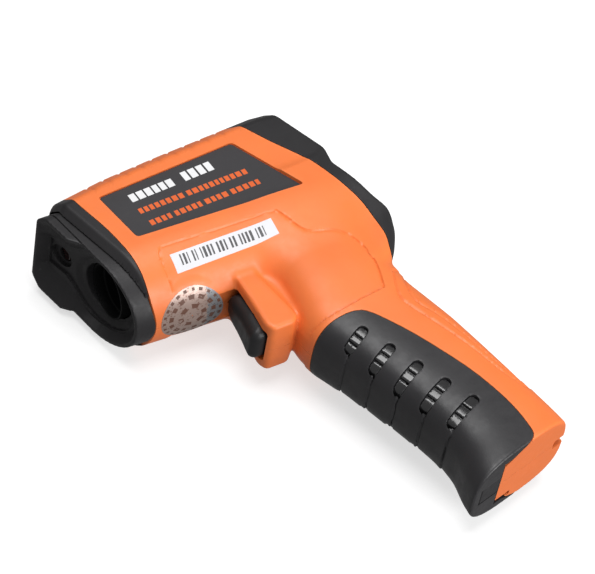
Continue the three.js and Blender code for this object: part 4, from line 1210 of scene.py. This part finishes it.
for i, (sx, sy) in enumerate(SCREWS):
    moulded("screw_%d" % (i + 1), screw(sx, sy), (sx - 3, sy - 3, -14.2), (sx + 3, sy + 3, 7.6), 0.3,
            node="case_screw_%d" % (i + 1), slot="steel", material=STEEL)


# ------------------------------------------------------------------ labels
LABEL_LOW, LABEL_HIGH = 19.0, 19.35  # underside and face of the label film


def film(name, outline, side, node):
    """A thin plate with eased edges in the label's recess."""
    middle = np.mean(outline, axis=0)
    rings = []
    for z, share in ((LABEL_LOW, 0.003), (LABEL_HIGH - 0.06, 0.003), (LABEL_HIGH, 0.005)):
        rings.append([(*(p + (middle - p) * share), side * z) for p in outline])
    count = len(outline)
    vertices = np.array([v for ring in rings for v in ring])
    faces = [list(range(count)), [2 * count + i for i in range(count)][::-1]]
    for ring in range(2):
        for i in range(count):
            j = (i + 1) % count
            a, b = ring * count + i, ring * count + j
            faces.append([a, a + count, b + count, b])
    if side < 0:
        faces = [f[::-1] for f in faces]
    return mesh_piece(name, vertices, faces, node=node, slot="label_film", material=LABEL_FILM)


def text_row(start, end, high, widths, gap):
    """A row of plain upright bars in word-like groups along a line: placeholder print, not lettering."""
    start, end = np.array(start, float), np.array(end, float)
    total = sum(sum(word) + gap * len(word) + 1.3 * gap for word in widths)
    run = np.hypot(*(end - start))
    stretch = run / total
    cells, at = [], 0.0
    aim = (end - start) / run
    up = np.array([-aim[1], aim[0]])
    for word in widths:
        for wide in word:
            a = start + aim * at * stretch
            b = a + aim * wide * stretch
            cells.append([tuple(a), tuple(b), tuple(b + up * high), tuple(a + up * high)])
            at += wide + gap
        at += 1.3 * gap
    return cells


def words(rng, counts, low, high):
    return [[float(rng.uniform(low, high)) for _ in range(count)] for count in counts]


rng = np.random.default_rng(7)
for side, tag in ((1, "left"), (-1, "right")):
    film("label_film_" + tag, LABEL, side, "label_" + tag)

    def on_label(a, b, level, side=side):
        return (a, b, side * (LABEL_HIGH + level))

    def mirrored(rows, side=side):
        return rows if side > 0 else [row[::-1] for row in rows]

    title = text_row((28.6, -10.8), (46.2, -9.7), 3.3, words(rng, (6,), 1.7, 2.3), 0.55)
    title += text_row((48.8, -9.5), (61.6, -8.6), 3.9, words(rng, (4,), 2.0, 2.4), 0.7)
    small = text_row((28.6, -16.2), (70.6, -14.6), 2.2, words(rng, (8, 11), 1.0, 1.5), 0.5)
    small += text_row((29.5, -22.0), (72.3, -20.2), 2.2, words(rng, (4, 5, 4, 5), 1.0, 1.5), 0.5)
    boxes("label_title_" + tag, mirrored(title), on_label, 0.03, slot="label_film", material=INK_WHITE)
    boxes("label_lines_" + tag, mirrored(small), on_label, 0.03, slot="label_film", material=INK_ORANGE)


# ------------------------------------------------------------------ stickers that follow the casing
def settle(field, low, high):
    """Where a field changes from outside (at high) to inside (at low) along a line, by halving."""
    low, high = low.copy(), high.copy()
    for _ in range(30):
        middle = (low + high) / 2
        inside = field(middle) < 0
        low, high = np.where(inside, middle, low), np.where(inside, high, middle)
    return (low + high) / 2


def draped(name, top, bottom, ring, **finish):
    """A thin sheet from a grid of points on its face and one just under the casing's skin."""
    rows, columns = top.shape[:2]
    vertices = np.concatenate([top.reshape(-1, 3), bottom.reshape(-1, 3)])
    faces, n = [], rows * columns
    wrap = columns if ring else columns - 1
    for i in range(rows - 1):
        for j in range(wrap):
            a, b = i * columns + j, i * columns + (j + 1) % columns
            c, d = a + columns, b + columns
            faces.append([a, c, d, b])
            faces.append([n + a, n + b, n + d, n + c])
    edge = [(rows - 1) * columns + j for j in range(columns)]
    if not ring:
        edge += [i * columns + columns - 1 for i in range(rows - 2, -1, -1)]
        edge += list(range(columns - 2, -1, -1))
        edge += [i * columns for i in range(1, rows - 1)]
    for a, b in zip(edge, edge[1:] + edge[:1]):
        faces.append([a, n + a, n + b, b])
    return mesh_piece(name, vertices, faces, **finish)


SHEET = 0.09  # thickness of a sticker
TUCK = 0.2  # how far its hidden side lies under the casing's skin
FOIL_SQUASH = 0.93  # the foil disc, over the round underside, is seen a little narrower


def side_skin(x, y):
    """How far out the casing's left side is."""
    return settle(lambda z: body_detail(x, y, z), np.full_like(x, 4.0), np.full_like(x, 22.0))


def under_skin(x, z):
    """How high the barrel's underside is."""
    return settle(lambda y: body_detail(x, y, z), np.full_like(x, -30.0), np.full_like(x, -60.0))


def on_side(level):
    return np.stack([xs, ys, side_skin(xs, ys) + level], -1)


xs, ys = np.meshgrid(np.linspace(29.2, 66.3, 60), np.linspace(-34.3, -40.0, 16))
xs = xs + (ys + 34.3) * -0.03
draped("white_sticker", on_side(SHEET), on_side(-TUCK), False, slot="sticker_paper", material=PAPER)
strokes = text_row((32.0, -38.4), (64.0, -38.8), 3.2, words(rng, (3, 2, 4, 3, 2, 4, 3), 0.35, 1.0), 0.65)
marks = []
for lower_left, lower_right, upper_right, upper_left in strokes:
    ends = np.array([lower_left, lower_right]), np.array([upper_left, upper_right])
    for k in range(6):
        low_end, high_end = (ends[0] + (ends[1] - ends[0]) * share for share in (k / 6, (k + 1) / 6))
        marks.append([low_end[0], low_end[1], high_end[1], high_end[0]])


def on_sticker(a, b, level):
    return a, b, side_skin(a, b) + SHEET + level


boxes("sticker_marks", marks, on_sticker, 0.03, slot="sticker_paper", material=INK_GREY)


def foil_place(share, angle):
    """Along the barrel and across it, from a share of the disc's radius and an angle."""
    x = FOIL_AT[0] + FOIL_RADIUS * share * np.cos(angle)
    return x, FOIL_AT[1] + FOIL_RADIUS * FOIL_SQUASH * share * np.sin(angle)


UNDER_RADIUS = 22.0  # of the barrel's underside, near its middle
radii, angles = np.linspace(0.02, 1.0, 16), np.arange(72) / 72 * 2 * math.pi
xs, zs = foil_place(radii[:, None], angles)
ys = under_skin(xs, zs)
out = np.stack([0 * xs, -1.0 + 0 * ys, zs / UNDER_RADIUS], -1)
out /= np.linalg.norm(out, axis=-1)[..., None]
under = np.stack([xs, ys, zs], -1)
foil = draped("foil_disc", under + SHEET * out, under - TUCK * out, True, slot="sticker_foil", material=FOIL)
foil.data.materials.append(FOIL_GREY)
split = to_row([37.4, 0, 0])[0]
for face in foil.data.polygons:
    if face.center.x > split:
        face.material_index = 1


def on_foil(a, b, level):
    """Points on the foil disc from their polar places."""
    x, z = foil_place(a, b)
    lift = (SHEET + level) / np.hypot(1.0, z / UNDER_RADIUS)
    return x, under_skin(x, z) - lift, z + lift * z / UNDER_RADIUS


DASH_RINGS = [  # radius, count, depth and share of the ring that is printed
    (0.86, 22, 0.09, 0.5), (0.62, 13, 0.14, 0.62), (0.3, 6, 0.16, 0.6),
]
dashes = []
for radius, count, depth, share in DASH_RINGS:
    for k in range(count):
        start = 2 * math.pi * k / count
        end = start + 2 * math.pi / count * share * float(rng.uniform(0.6, 1.0))
        dashes.append([(radius, start), (radius + depth, start), (radius + depth, end), (radius, end)])
boxes("foil_marks", dashes, on_foil, 0.03, slot="sticker_foil", material=INK_BROWN)


# ------------------------------------------------------------------ carried-over nodes inside the casing
INSIDE = {
    "sensor_holder": WHITE, "thermopile_sensor": STEEL, "lcd_backlight": WHITE, "key_board": BOARD,
    "main_board": BOARD, "processor_chip": CHIP, "buzzer": CHIP, "trigger_bracket": BLACK,
    "trigger_switch": CHIP, "switch_plunger": WHITE, "door_hinge_pin": STEEL,
}
for name, material in INSIDE.items():
    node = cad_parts[name]
    if node.material_slots:
        node.material_slots[0].material = material
    else:
        node.data.materials.append(material)


# ------------------------------------------------------------------ stage, light and camera
def make_floor():
    """A light table: it glows white to the camera but throws no light back on the instrument."""
    size, level = 3.0, -0.0006
    mesh = bpy.data.meshes.new("floor")
    corners = [(-size, -size, level), (size, -size, level), (size, size, level), (-size, size, level)]
    mesh.from_pydata(corners, [], [(0, 1, 2, 3)])
    floor = bpy.data.objects.new("floor", mesh)
    bpy.context.scene.collection.objects.link(floor)
    floor.data.materials.append(FLOOR)
    floor.visible_diffuse = False
    floor.visible_glossy = False


def area_light(name, location, target, size, power):
    """A square soft light: places and size in metres, power in watts."""
    data = bpy.data.lights.new(name, "AREA")
    data.shape, data.size, data.energy = "SQUARE", size, power
    lamp = bpy.data.objects.new(name, data)
    bpy.context.scene.collection.objects.link(lamp)
    lamp.location = location
    lamp.rotation_euler = (Vector(target) - Vector(location)).to_track_quat("-Z", "Y").to_euler()
    return lamp


VIEW_RIGHT = np.array([0.853, -0.505, 0.1325])
VIEW_UP = np.array([0.3105, 0.695, 0.6486])
VIEW_DISTANCE = 900.0  # millimetres from the camera to the middle of the view
VIEW_WIDTH = 191.935  # millimetres that the picture's width shows there
VIEW_AIM = (85.032, 13.129)  # millimetres right of and below the drawing's zero


def make_camera():
    """The photograph's viewpoint, aimed by the drawing's zero."""
    right = VIEW_RIGHT / np.linalg.norm(VIEW_RIGHT)
    up = VIEW_UP - right * (VIEW_UP @ right)
    up /= np.linalg.norm(up)
    back = np.cross(right, up)
    eye = right * VIEW_AIM[0] - up * VIEW_AIM[1] + back * VIEW_DISTANCE
    data = bpy.data.cameras.new("camera")
    data.sensor_width = 36.0
    data.lens = VIEW_DISTANCE / VIEW_WIDTH * data.sensor_width
    camera = bpy.data.objects.new("camera", data)
    bpy.context.scene.collection.objects.link(camera)
    turn = Matrix((right, up, back)).transposed().to_4x4()
    camera.matrix_world = Matrix.Translation(Vector(to_row([eye])[0])) @ turn
    bpy.context.scene.camera = camera


def make_world():
    world = bpy.data.worlds.new("studio")
    world.use_nodes = True
    background = world.node_tree.nodes["Background"]
    background.inputs["Color"].default_value = (1, 1, 1, 1)
    background.inputs["Strength"].default_value = 0.28
    bpy.context.scene.world = world


make_floor()
make_camera()
make_world()
area_light("key_light", (0.0, 0.05, 1.0), (0, 0, 0.02), 0.7, 8)
area_light("fill_light", (0.35, -0.85, 0.35), (0, 0, 0.02), 0.6, 7.5)
bpy.context.scene.view_settings.view_transform = "Standard"
